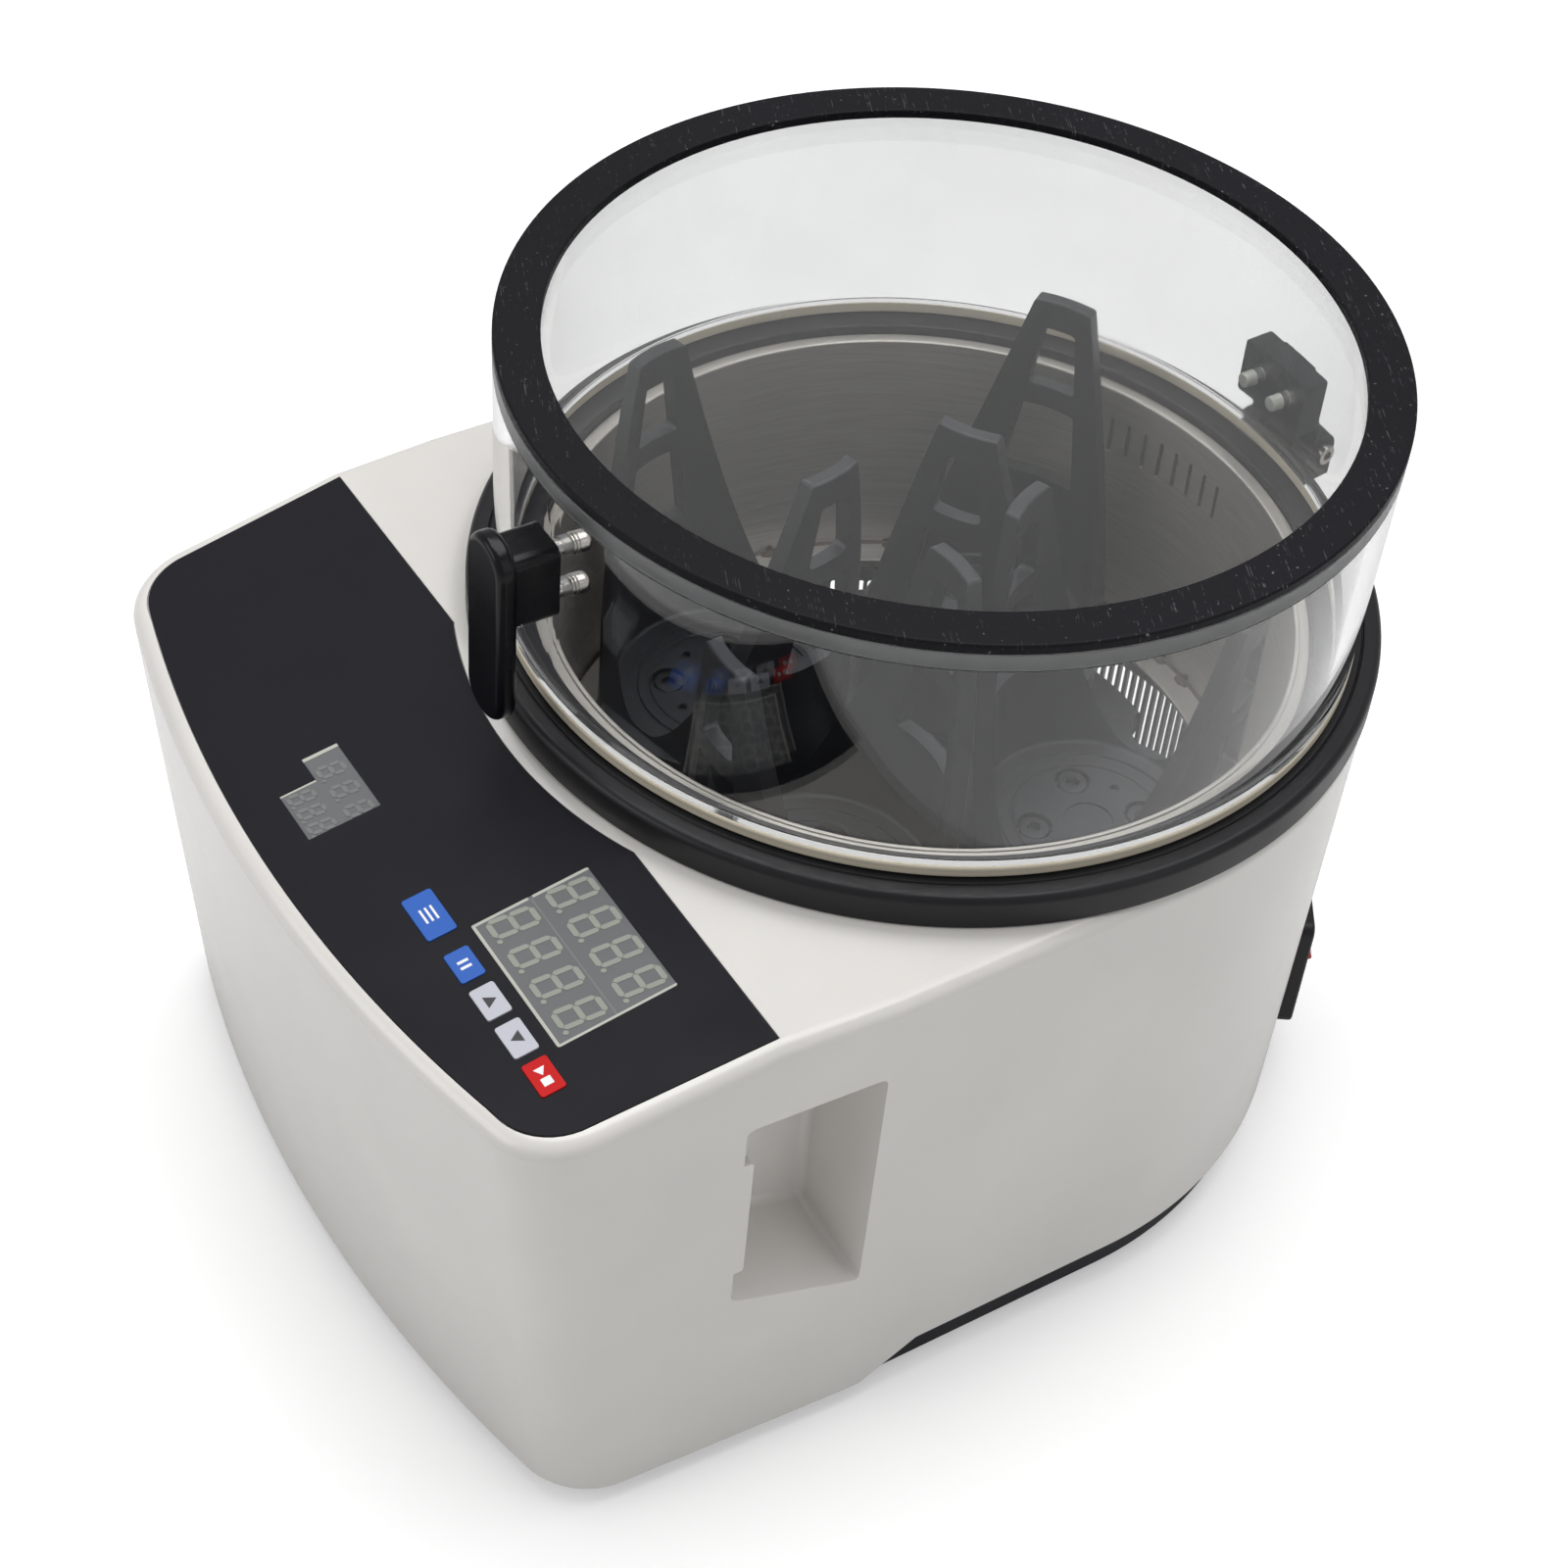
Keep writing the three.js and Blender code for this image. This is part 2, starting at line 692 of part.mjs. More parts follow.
function shellGeometry() {
  const outer = housingBody(0, shellFootZ, topFillet);
  const hollow = housingBody(shellWall, shellFootZ - over, 0);
  const skirt = shapeOf([
    [-skirtRiseReach, shellFootZ - over],
    [-skirtRiseReach, shellFootZ],
    [skirtRiseRun - skirtRiseReach, shellFootZ + skirtRise],
    [shellHalfWidth + over, shellFootZ + skirtRise],
    [shellHalfWidth + over, shellFootZ - over],
  ]);
  const width = shellHalfWidth + over;
  const pocket = common(recessHollow(recessWall), outer);
  const lip = common(recessLip(), outer);
  let shell = cut(outer, hollow);
  shell = join(shell, pocket, mirrored(pocket));
  shell = cut(shell, recessHollow(0), mirrored(recessHollow(0)));
  shell = join(shell, lip, mirrored(lip));
  const inletHole = box(
    [-inletBodyWidth / 2 - gap, shellHalfWidth - inletBodyDepth, inletMidZ - inletBodyHeight / 2 - gap],
    [inletBodyWidth / 2 + gap, width, inletMidZ + inletBodyHeight / 2 + gap],
  );
  return cut(
    shell,
    rod(ringLedgeRadius + chamberHoleClear, shellTopZ - shellWall - over, shellTopZ + over, ringSteps),
    sidePlate(skirt, -width, width),
    grilleBand(grilleMargin / 2, bowlRadius, shellHalfWidth + over),
    radial(inletHole, inletAngle),
    onPanel(plate(panelShape(gap), -panelRecess, over * 2)),
    panelCuts(-shellWall * 2, over).map(onPanel),
  );
}

function grilleGeometry() {
  const inset = shellWall + gap;
  const skin = cut(
    housingBody(inset, shellFootZ - over, 0),
    housingBody(inset + grilleThickness, shellFootZ - over * 2, 0),
  );
  const slot = box(
    [-grilleSlotWidth / 2, bowlRadius, grilleLowZ],
    [grilleSlotWidth / 2, shellHalfWidth, grilleLowZ + grilleSlotHeight],
  );
  const slots = Array.from({ length: grilleSlots }, (_, i) =>
    radial(slot, grilleStartAngle + i * grillePitchAngle),
  );
  return cut(common(skin, grilleBand(grilleMargin, bowlRadius, shellHalfWidth)), slots);
}

function bodyRingGeometry() {
  const top = shellTopZ + ringHeight;
  const edge = arc(
    ringOuterRadius - ringEdgeRadius, top - ringEdgeRadius, ringEdgeRadius, 0, quarter, filletSteps,
  );
  const ledge = shellTopZ + ringLedgeHeight;
  return turned([
    [ringLipRadius, ledge],
    [ringLedgeRadius, ledge],
    [ringLedgeRadius, shellTopZ + gap],
    [ringOuterRadius, shellTopZ + gap],
    ...edge,
    [ringGrooveRadius + ringGrooveWidth / 2, top],
    [ringGrooveRadius, top - ringGrooveDepth],
    [ringGrooveRadius - ringGrooveWidth / 2, top],
    [ringLipRadius, top],
  ], ringSteps);
}

function bowlGeometry() {
  const lip = shellTopZ + ringLedgeHeight + gap;
  const outer = bowlRadius + bowlWall;
  const shell = turned([
    [bowlFloorRadius, bowlFloorZ],
    [bowlRadius, bowlFloorZ],
    [bowlRadius, lip + bowlWall + bowlBeadHeight],
    [outer, lip + bowlWall + bowlBeadHeight],
    [outer, lip + bowlWall],
    [ringLipRadius - gap, lip + bowlWall],
    [ringLipRadius - gap, lip],
    [outer, lip],
    [outer, bowlFloorZ - bowlWall],
    [bowlFloorRadius, bowlFloorZ - bowlWall],
  ], ringSteps);
  const top = shellTopZ - louvreTopDrop;
  const louvre = box(
    [-louvreWidth / 2, bowlRadius - over, top - louvreHeight],
    [louvreWidth / 2, outer + over, top],
  );
  const louvres = Array.from({ length: louvreCount }, (_, i) =>
    radial(louvre, louvreStartAngle + i * louvrePitchAngle),
  );
  return cut(shell, louvres);
}

function boltHoles(heights, xs, y) {
  return heights.flatMap((height) =>
    xs.map((x) =>
      rod(boltRadius + gap, -coverWall - over, coverWall + over, smallSteps)
        .rotateX(quarter)
        .translate(x, y, shellTopZ + height),
    ),
  );
}

function coverGeometry() {
  const discLow = coverDiscTopZ - coverTopDisc;
  const cup = turned([
    [0, discLow],
    [coverRadius - coverWall, discLow],
    [coverFootRadius - coverWall, coverFootZ],
    [coverFootRadius, coverFootZ],
    [coverRadius, coverDiscTopZ],
    [0, coverDiscTopZ],
  ], ringSteps);
  return cut(
    cup,
    boltHoles(Object.values(handleBoltHeights), [0], -coverRadius),
    boltHoles([hingeBoltHeight], [-hingeBoltSpread, hingeBoltSpread], coverRadius),
  );
}

function coverTopRingGeometry() {
  const inner = coverRadius - coverRingWidth;
  const low = coverDiscTopZ + gap;
  return turned([
    [inner, low],
    [coverRadius, low],
    [coverRadius, coverTopZ - coverRingChamfer],
    [coverRadius - coverRingChamfer, coverTopZ],
    [inner + coverRingChamfer, coverTopZ],
    [inner, coverTopZ - coverRingChamfer],
  ], ringSteps);
}

// The wall of the cover as a cutter, so that what seats on it fits round it.
function coverSeat() {
  return rod(coverRadius + gap, shellTopZ, coverTopZ + over, ringSteps);
}

function handleGeometry() {
  const grip = roundedShape(
    -handleWidth / 2 + handleEdge, handleWidth / 2 - handleEdge,
    handleLow + handleEdge, handleHigh - handleEdge, handleCornerRadius - handleEdge,
  );
  const settings = {
    depth: handleThickness - handleEdge * 2,
    bevelSize: handleEdge,
    bevelThickness: handleEdge,
    bevelSegments: 2,
    curveSegments: cornerSteps,
  };
  const gripPlate = new THREE.ExtrudeGeometry(grip, settings)
    .rotateX(quarter)
    .translate(0, -handleBackReach - handleEdge, shellTopZ);
  const neck = frontPlate(
    roundedShape(-neckWidth / 2, neckWidth / 2, neckLow, neckHigh, neckFillet),
    -handleBackReach - handleEdge,
    -coverRadius + coverWall,
  ).translate(0, 0, shellTopZ);
  const bores = Object.values(handleBoltHeights).map((height) =>
    rod(boltRadius + gap, 0, coverWall + boltDepthInNeck + gap, smallSteps)
      .rotateX(quarter)
      .translate(0, -coverRadius + coverWall, shellTopZ + height),
  );
  return cut(join(gripPlate, neck), coverSeat(), bores);
}

// A bolt with a domed nut and a spacer. The spacer's end is at the origin, and the thread runs on
// from there towards -Y.
function domedBolt(length) {
  const dome = arc(0, nutRadius - nutLength - spacerLength, nutRadius, -quarter, 0, filletSteps);
  return turned([
    ...dome,
    [nutRadius, -spacerLength],
    [spacerRadius, -spacerLength],
    [spacerRadius, 0],
    [boltRadius, 0],
    [boltRadius, length],
    [0, length],
  ], smallSteps).rotateX(quarter);
}

function hingeCoverLeafGeometry() {
  const pinY = hingeReach;
  const pinZ = shellTopZ + hingeHeight;
  const outline = shapeOf([
    [coverRadius - coverWall, shellTopZ + leafLow],
    [pinY - knuckleRadius, shellTopZ + leafLow],
    ...arc(pinY, pinZ, knuckleRadius, -Math.PI, quarter / 2, smallSteps),
    [coverRadius + leafThickness, shellTopZ + leafHigh],
    [coverRadius - coverWall, shellTopZ + leafHigh],
  ]);
  const leaf = box(
    [-hingeHalfWidth, coverRadius - coverWall, shellTopZ + leafLow + over],
    [hingeHalfWidth, coverRadius + leafThickness, shellTopZ + leafHigh],
  );
  const knuckle = sidePlate(outline, -knuckleHalfWidth, knuckleHalfWidth);
  const pinHole = rod(hingePinRadius + gap, -hingeHalfWidth, hingeHalfWidth, smallSteps)
    .rotateY(quarter)
    .translate(0, pinY, pinZ);
  const bolts = [-hingeBoltSpread, hingeBoltSpread].map((x) =>
    rod(boltRadius + gap, -leafThickness - over, leafThickness + over, smallSteps)
      .rotateX(quarter)
      .translate(x, coverRadius, shellTopZ + hingeBoltHeight),
  );
  return cut(join(leaf, knuckle), coverSeat(), pinHole, bolts);
}

function hingeRingLeafGeometry() {
  const pinY = hingeReach;
  const pinZ = shellTopZ + hingeHeight;
  const outline = shapeOf([
    [coverRadius, shellTopZ + ringLeafLow],
    [pinY + knuckleRadius, shellTopZ + ringLeafLow],
    ...arc(pinY, pinZ, knuckleRadius, 0, Math.PI, smallSteps),
    [coverRadius, shellTopZ + ringHeight + gap],
  ]);
  const body = sidePlate(outline, -hingeHalfWidth, hingeHalfWidth);
  const slot = box(
    [-knuckleHalfWidth - gap, coverRadius - over, shellTopZ + hingeHeight - knuckleRadius - gap],
    [knuckleHalfWidth + gap, pinY + knuckleRadius + over, shellTopZ + leafHigh],
  );
  const ringSeat = rod(ringOuterRadius + gap, shellTopZ, shellTopZ + ringHeight + gap, ringSteps);
  const coverPath = rod(coverRadius + over, shellTopZ + ringHeight, coverTopZ, ringSteps);
  const pinHole = rod(hingePinRadius + gap, -hingeHalfWidth - over, hingeHalfWidth + over, smallSteps)
    .rotateY(quarter)
    .translate(0, pinY, pinZ);
  return cut(body, slot, ringSeat, coverPath, pinHole);
}

function hingePinGeometry() {
  const half = hingeHalfWidth + gap;
  return turned([
    [0, -half - hingePinHead],
    [hingePinHeadRadius, -half - hingePinHead],
    [hingePinHeadRadius, -half],
    [hingePinRadius, -half],
    [hingePinRadius, half],
    [hingePinHeadRadius, half],
    [hingePinHeadRadius, half + hingePinHead],
    [0, half + hingePinHead],
  ], smallSteps).rotateY(quarter);
}

function footGeometry() {
  return turned([
    [0, footScrewDepth],
    [footScrewRadius, footScrewDepth],
    [footScrewRadius, 0],
    [footRadius - footTaper, 0],
    [footRadius, footHeight],
    [0, footHeight],
  ], shaftSteps);
}

function baseGeometry() {
  const outline = shapeOf(housingOutline(shellWall + gap, 1));
  const inside = shapeOf(housingOutline(shellWall + gap + baseRim, 1));
  return cut(
    plate(outline, baseLowZ, baseLowZ + baseRimHeight),
    plate(inside, baseTopZ, baseLowZ + baseRimHeight + over),
  );
}

function deckGeometry() {
  const shape = new THREE.Shape();
  shape.absarc(0, 0, deckHalfWidth, 0, Math.PI);
  const cornerX = deckHalfWidth - deckCornerRadius;
  const cornerY = deckCornerRadius - deckFrontReach;
  shape.absarc(-cornerX, cornerY, deckCornerRadius, Math.PI, Math.PI + quarter);
  shape.absarc(cornerX, cornerY, deckCornerRadius, -quarter, 0);
  const posts = [-1, 1].flatMap((side) =>
    [-postFrontReach, postBackReach].map((y) =>
      rod(postRadius, baseTopZ + gap, deckLowZ + deckThickness / 2, smallSteps)
        .translate(side * postX, y, 0),
    ),
  );
  const bore = (radius) => rod(radius + runClear, deckLowZ - over, deckTopZ + over, shaftSteps);
  return cut(
    join(plate(shape, deckLowZ, deckTopZ), posts),
    bore(shaftRadius),
    bore(motorShaftRadius).translate(0, -motorReach, 0),
  );
}

function bearingHousingGeometry() {
  const low = deckTopZ + gap;
  const bore = bearingOuterRadius + gap;
  return turned([
    [shaftRadius + runClear, low],
    [housingFlangeRadius, low],
    [housingFlangeRadius, low + housingFlangeHeight],
    [bore + housingWall, low + housingFlangeHeight],
    [bore + housingWall, housingTopZ],
    [bore, housingTopZ],
    [bore, low + housingLedge],
    [shaftRadius + runClear, low + housingLedge],
  ], shaftSteps);
}

// A spur gear with straight-sided teeth, one tooth centred on the +X axis.
function gearShape(teeth, boreRadius) {
  const pitchRadius = (gearModule * teeth) / 2;
  const rootRadius = pitchRadius - gearModule * dedendumShare;
  const tipRadius = pitchRadius + gearModule * addendumShare;
  const pitch = (2 * Math.PI) / teeth;
  const levels = [
    [rootRadius, -toothRootShare],
    [tipRadius, -toothTipShare],
    [tipRadius, toothTipShare],
    [rootRadius, toothRootShare],
  ];
  const points = Array.from({ length: teeth }, (_, i) =>
    levels.map(([radius, share]) => {
      const angle = (i + share) * pitch;
      return [radius * Math.cos(angle), radius * Math.sin(angle)];
    }),
  ).flat();
  const shape = shapeOf(points);
  const bore = arc(0, 0, boreRadius, 2 * Math.PI, 0, shaftSteps).slice(1);
  shape.holes.push(new THREE.Path(bore.map(([x, y]) => new THREE.Vector2(x, y))));
  return shape;
}

function turntableGeometry() {
  const disc = turned([
    [0, turntableLowZ],
    [turntableRadius - turntableEdge, turntableLowZ],
    [turntableRadius, turntableLowZ + turntableEdge],
    [turntableRadius, turntableTopZ - turntableEdge],
    [turntableRadius - turntableEdge, turntableTopZ],
    [0, turntableTopZ],
  ], ringSteps);
  const bore = (radius) => rod(radius, turntableLowZ - over, turntableTopZ + over, shaftSteps);
  const seat = bore(planetBearingRadius + gap).translate(0, planetReach, 0);
  const notch = bore(turntableNotchRadius).translate(0, turntableRadius + turntableNotchPast, 0);
  const cuts = armAngles.flatMap((_, i) => {
    const angle = planetStartAngle + i * planetTurn;
    return [radial(seat, angle), radial(notch, angle + planetTurn / 2)];
  });
  return cut(disc, bore(shaftRadius + gap), cuts);
}

function mainShaftGeometry() {
  const collarLow = turntableLowZ - gap - shaftCollarHeight;
  return turned([
    [0, pulleyLowZ - over],
    [shaftRadius, pulleyLowZ - over],
    [shaftRadius, collarLow],
    [shaftCollarRadius, collarLow],
    [shaftCollarRadius, collarLow + shaftCollarHeight],
    [shaftRadius, collarLow + shaftCollarHeight],
    [shaftRadius, turntableTopZ + gap],
    [hubHeadRadius, turntableTopZ + gap],
    [hubHeadRadius, turntableTopZ + gap + hubHeadHeight - hubHeadEdge],
    [hubHeadRadius - hubHeadEdge, turntableTopZ + gap + hubHeadHeight],
    [0, turntableTopZ + gap + hubHeadHeight],
  ], shaftSteps);
}

function pulleyGeometry(radius, bore) {
  const high = pulleyLowZ + pulleyHeight;
  return turned([
    [bore, pulleyLowZ],
    [radius + pulleyFlange, pulleyLowZ],
    [radius + pulleyFlange, pulleyLowZ + pulleyFlangeHeight],
    [radius, pulleyLowZ + pulleyFlangeHeight],
    [radius, high - pulleyFlangeHeight],
    [radius + pulleyFlange, high - pulleyFlangeHeight],
    [radius + pulleyFlange, high],
    [bore, high],
  ], holderSteps);
}

function drivenPulleyGeometry() {
  const holes = Array.from({ length: pulleyHoles }, (_, i) =>
    radial(
      rod(pulleyHoleRadius, pulleyLowZ - over, pulleyLowZ + pulleyHeight + over, smallSteps)
        .translate(0, pulleyHoleReach, 0),
      (fullTurn * i) / pulleyHoles,
    ),
  );
  return cut(pulleyGeometry(drivenPulleyRadius, shaftRadius + gap), holes);
}

// The belt's loop round both pulleys, at some distance from their rims.
function beltLoop(distance) {
  const lean = Math.asin((drivenPulleyRadius - motorPulleyRadius) / motorReach);
  return [
    ...arc(0, 0, drivenPulleyRadius + distance, -lean, Math.PI + lean, holderSteps),
    ...arc(0, -motorReach, motorPulleyRadius + distance, lean + Math.PI, 2 * Math.PI - lean, shaftSteps),
  ];
}

function beltGeometry() {
  const shape = shapeOf(beltLoop(gap + beltThickness));
  shape.holes.push(new THREE.Path(beltLoop(gap).map(([x, y]) => new THREE.Vector2(x, y))));
  const inset = pulleyFlangeHeight + gap;
  return plate(shape, pulleyLowZ + inset, pulleyLowZ + pulleyHeight - inset);
}

function motorGeometry() {
  const low = deckTopZ + gap;
  const high = low + motorHeight;
  const cap = motorRadius - motorCapStep;
  const bore = motorShaftRadius + gap;
  return turned([
    [0, low + motorShaftInside],
    [bore, low + motorShaftInside],
    [bore, low],
    [motorRadius, low],
    [motorRadius, low + motorCapStep],
    [cap, low + motorCapHeight],
    [motorRadius, low + motorCapHeight],
    [motorRadius, high - motorCapHeight],
    [cap, high - motorCapHeight],
    [cap, high - motorCapStep],
    [cap - motorCapStep, high],
    [0, high],
  ], holderSteps);
}

// A flat back with a comb of fins.
function controllerGeometry() {
  const pitch = controllerWidth / controllerFins;
  const points = Array.from({ length: controllerFins }, (_, i) => {
    const left = i * pitch;
    const right = left + pitch * controllerFinShare;
    const top = controllerBase + controllerFin;
    return [[left, controllerBase], [left, top], [right, top], [right, controllerBase]];
  }).flat();
  const width = (controllerFins - 1 + controllerFinShare) * pitch;
  const shape = shapeOf([[0, 0], ...points, [width, 0]]);
  return frontPlate(shape, -controllerLength / 2, controllerLength / 2)
    .translate(-width / 2, 0, baseTopZ + gap);
}

// A jar holder on its own axis: a turned cup, cut down to a floor and two tall pierced arms.
function holderGeometry() {
  const inner = holderRadius - holderWall;
  const grooveHigh = inner - floorGrooveInset;
  const grooveLow = grooveHigh - floorGrooveWidth;
  const cup = turned([
    [0, holderLowZ],
    [holderRadius, holderLowZ],
    [holderRadius, armTopZ],
    [inner, armTopZ],
    [inner, holderFloorZ],
    [grooveHigh, holderFloorZ],
    [grooveHigh, holderFloorZ - floorGrooveDepth],
    [grooveLow, holderFloorZ - floorGrooveDepth],
    [grooveLow, holderFloorZ],
    [0, holderFloorZ],
  ], holderSteps);
  const side = holderRadius + over;
  const arms = frontPlate(shapeOf([
    [-side, holderLowZ - over],
    [side, holderLowZ - over],
    [side, holderFloorZ],
    [armFootHalf, holderFloorZ],
    [armTopHalf, armTopZ],
    [-armTopHalf, armTopZ],
    [-armFootHalf, holderFloorZ],
    [-side, holderFloorZ],
  ]), -side, side);
  const windowCut = (topZ, height) => {
    const footHalf = (z) => windowTopHalf + (armTopZ - armBar - z) * windowTaperShare;
    return frontPlate(shapeOf([
      [-footHalf(topZ - height), topZ - height],
      [footHalf(topZ - height), topZ - height],
      [footHalf(topZ), topZ],
      [-footHalf(topZ), topZ],
    ]), -side, side);
  };
  const upperTop = armTopZ - armBar;
  const lowerTop = upperTop - upperWindowHeight - crossBar;
  const counterbore = rod(
    counterboreRadius, holderFloorZ - counterboreDepth, holderFloorZ + over, smallSteps,
  ).translate(0, holderScrewReach, 0);
  const screws = Array.from({ length: holderScrews }, (_, i) =>
    radial(counterbore, ((i + 0.5) * fullTurn) / holderScrews),
  );
  return cut(
    common(cup, arms),
    windowCut(upperTop, upperWindowHeight),
    windowCut(lowerTop, lowerWindowHeight),
    screws,
  );
}

function planetShaftGeometry() {
  const flangeHigh = holderLowZ - gap;
  return turned([
    [0, gearLowZ - over],
    [planetShaftRadius, gearLowZ - over],
    [planetShaftRadius, flangeHigh - planetFlangeHeight],
    [planetFlangeRadius, flangeHigh - planetFlangeHeight],
    [planetFlangeRadius, flangeHigh],
    [0, flangeHigh],
  ], shaftSteps);
}

// The mains inlet, drawn with Y outwards from the housing's back wall and Z from its own middle.
function inletGeometry() {
  const face = shellHalfWidth + gap;
  const bezel = frontPlate(
    roundedShape(-inletWidth / 2, inletWidth / 2, -inletHeight / 2, inletHeight / 2, socketCorner),
    shellHalfWidth - shellWall,
    face + inletBezel,
  ).translate(0, 0, inletMidZ);
  const housing = housingBody(-gap, shellFootZ - over, 0).rotateZ(quarter - radians(inletAngle));
  const body = box(
    [-inletBodyWidth / 2, shellHalfWidth - inletBodyDepth, inletMidZ - inletBodyHeight / 2],
    [inletBodyWidth / 2, face, inletMidZ + inletBodyHeight / 2],
  );
  const front = face + inletBezel + over;
  const socket = frontPlate(
    roundedShape(-socketWidth / 2, socketWidth / 2, -socketHeight / 2, socketHeight / 2, socketCorner),
    face + inletBezel - socketDepth,
    front,
  ).translate(0, 0, inletMidZ - socketDrop);
  const wellHalf = rockerWidth / 2 + gap;
  const wellReach = rockerRadius + gap;
  const rockerWell = box(
    [-wellHalf, face + inletBezel - rockerDepth - rockerRadius / 2, -wellReach],
    [wellHalf, front, wellReach],
  ).translate(0, 0, inletMidZ + rockerRise);
  const prong = box(
    [-prongWidth / 2, face + inletBezel - socketDepth - over, -prongThickness / 2],
    [prongWidth / 2, face - prongRecess, prongThickness / 2],
  ).translate(0, 0, inletMidZ - socketDrop);
  const prongs = [-1, 0, 1].map((place) =>
    prong.clone().translate(place * prongPitch, 0, place ? -prongOffset : prongOffset),
  );
  return join(cut(join(cut(bezel, housing), body), socket, rockerWell), prongs);
}

// The rocker round its own pivot: round ends, so that it tips inside its frame.
function rockerGeometry() {
  const front = radians(rockerFrontAngle);
  const back = radians(rockerBackAngle);
  const shape = shapeOf([
    ...arc(0, 0, rockerRadius, front, back, cornerSteps),
    ...arc(0, 0, rockerRadius, -back, -front, cornerSteps),
    [rockerValley, 0],
  ]);
  return sidePlate(shape, -rockerWidth / 2, rockerWidth / 2).rotateX(radians(rockerTilt));
}

function paint(color, roughness, metalness, opacity = 1) {
  return new THREE.MeshStandardMaterial({ color, roughness, metalness, opacity, transparent: opacity < 1 });
}

const white = () => paint(0xf2f2f0, 0.2, 0);
const black = () => paint(0x1b1c1f, 0.45, 0);
const steel = () => paint(0xb9b8b4, 0.35, 0.9);
const darkSteel = () => paint(0x3c3d40, 0.4, 0.7);
const rubber = () => paint(0x202020, 0.9, 0);

const mill = new THREE.Group();
const aroundAxis = new THREE.Group();
aroundAxis.position.y = axisY;
mill.add(aroundAxis);

function add(name, geometry, material, x = 0, y = 0, z = 0, parent = aroundAxis) {
  const mesh = new THREE.Mesh(geometry, material);
  mesh.name = name;
  mesh.position.set(x, y, z);
  parent.add(mesh);
  return mesh;
}

add("shell", shellGeometry(), white());
add("base_plate", baseGeometry(), black());
const footFrontX = shellHalfWidth - footFrontInset;
const footBackX = shellHalfWidth - footBackInset;
const footFrontY = footFrontSetback - shellFrontReach;
const footBackY = shellHalfWidth - footBackSetback;
[
  [footFrontX, footFrontY],
  [-footFrontX, footFrontY],
  [footBackX, footBackY],
  [-footBackX, footBackY],
].forEach(([x, y], i) => add(`foot_${i + 1}`, footGeometry(), rubber(), x, y));
add("rear_vent_grille", grilleGeometry(), black());

const panel = new THREE.Group();
panel.position.set(0, -creaseReach, shellTopZ);
panel.rotation.x = slopeAngle;
aroundAxis.add(panel);
const panelLow = gap - panelRecess;
const panelTop = panelLow + panelThickness;
const boardTop = -boardDrop;
const panelGeometry = cut(plate(panelShape(0), panelLow, panelTop), panelCuts(-over, over));
add("panel_overlay", panelGeometry, paint(0x1d1e22, 0.6, 0), 0, 0, 0, panel);
const displayLow = boardTop + gap;
const smoked = () => paint(0x74767a, 0.3, 0);
add("display_main", panelBlock(mainDisplay, 0, displayLow, panelTop), smoked(), 0, 0, 0, panel);
add("display_temp", plate(tempShape(0), displayLow, panelTop), smoked(), 0, 0, 0, panel);
for (const [name, key] of Object.entries(keys)) {
  const low = boardTop + gap + keyTravel;
  const block = panelBlock(key, 0, low, panelTop + keyProud);
  add(name, block, paint(keyColors[name], 0.5, 0), 0, 0, 0, panel);
}
const boardLeft = tempDisplay.left - boardLeftMargin;
const boardRight = keys.key_run_stop.right + boardRightMargin;
const boardBackY = boardBackMargin - mainDisplay.back;
const boardFrontY = -tempDisplay.front - boardFrontMargin;
const boardShape = shapeOf([
  [boardLeft, boardBackY],
  [boardLeft, boardFrontY],
  [boardRight - boardCornerCut, boardFrontY],
  [boardRight, boardFrontY + boardCornerCut],
  [boardRight, boardBackY],
]);
const board = plate(boardShape, boardTop - boardThickness, boardTop);
add("control_board", board, paint(0x1f6b3a, 0.5, 0), 0, 0, 0, panel);

add("body_ring", bodyRingGeometry(), black());
add("bowl", bowlGeometry(), steel());
add("cover", coverGeometry(), paint(0xdfe6ea, 0.1, 0, 0.3));
add("cover_top_ring", coverTopRingGeometry(), black());
const sealLow = shellTopZ + ringHeight + gap;
const sealOuter = coverFootRadius + gap;
add("cover_seal", ring(sealOuter - sealWidth, sealOuter, sealLow, sealLow + sealHeight, ringSteps), rubber());
add("cover_handle", handleGeometry(), black());
const spacerReach = coverFootRadius - coverWall - spacerClear;
for (const [name, height] of Object.entries(handleBoltHeights)) {
  const bolt = domedBolt(coverWall + boltDepthInNeck);
  add(name, bolt, steel(), 0, -spacerReach, shellTopZ + height);
}
add("hinge_cover_leaf", hingeCoverLeafGeometry(), black());
add("hinge_ring_leaf", hingeRingLeafGeometry(), black());
add("hinge_pin", hingePinGeometry(), steel(), 0, hingeReach, shellTopZ + hingeHeight);
[-hingeBoltSpread, hingeBoltSpread].forEach((x, i) => {
  const bolt = domedBolt(coverWall + leafThickness).rotateZ(Math.PI);
  add(`hinge_bolt_${i + 1}`, bolt, steel(), x, spacerReach, shellTopZ + hingeBoltHeight);
});

add("deck_plate", deckGeometry(), steel());
add("bearing_housing", bearingHousingGeometry(), paint(0x8d9094, 0.5, 0.6));
const bearing = () => ring(shaftRadius + gap, bearingOuterRadius, 0, bearingWidth, shaftSteps);
add("lower_bearing", bearing(), steel(), 0, 0, deckTopZ + housingLedge + gap * 2);
add("upper_bearing", bearing(), steel(), 0, 0, housingTopZ - bearingWidth);
const phase = radians(planetStartAngle);
const sunShape = gearShape(sunTeeth, shaftCollarRadius + sunBoreClear);
add("sun_gear", plate(sunShape, gearLowZ, gearTopZ).rotateZ(phase), darkSteel());
add("main_shaft", mainShaftGeometry(), steel());
add("driven_pulley", drivenPulleyGeometry(), darkSteel());
add("turntable", turntableGeometry(), darkSteel());
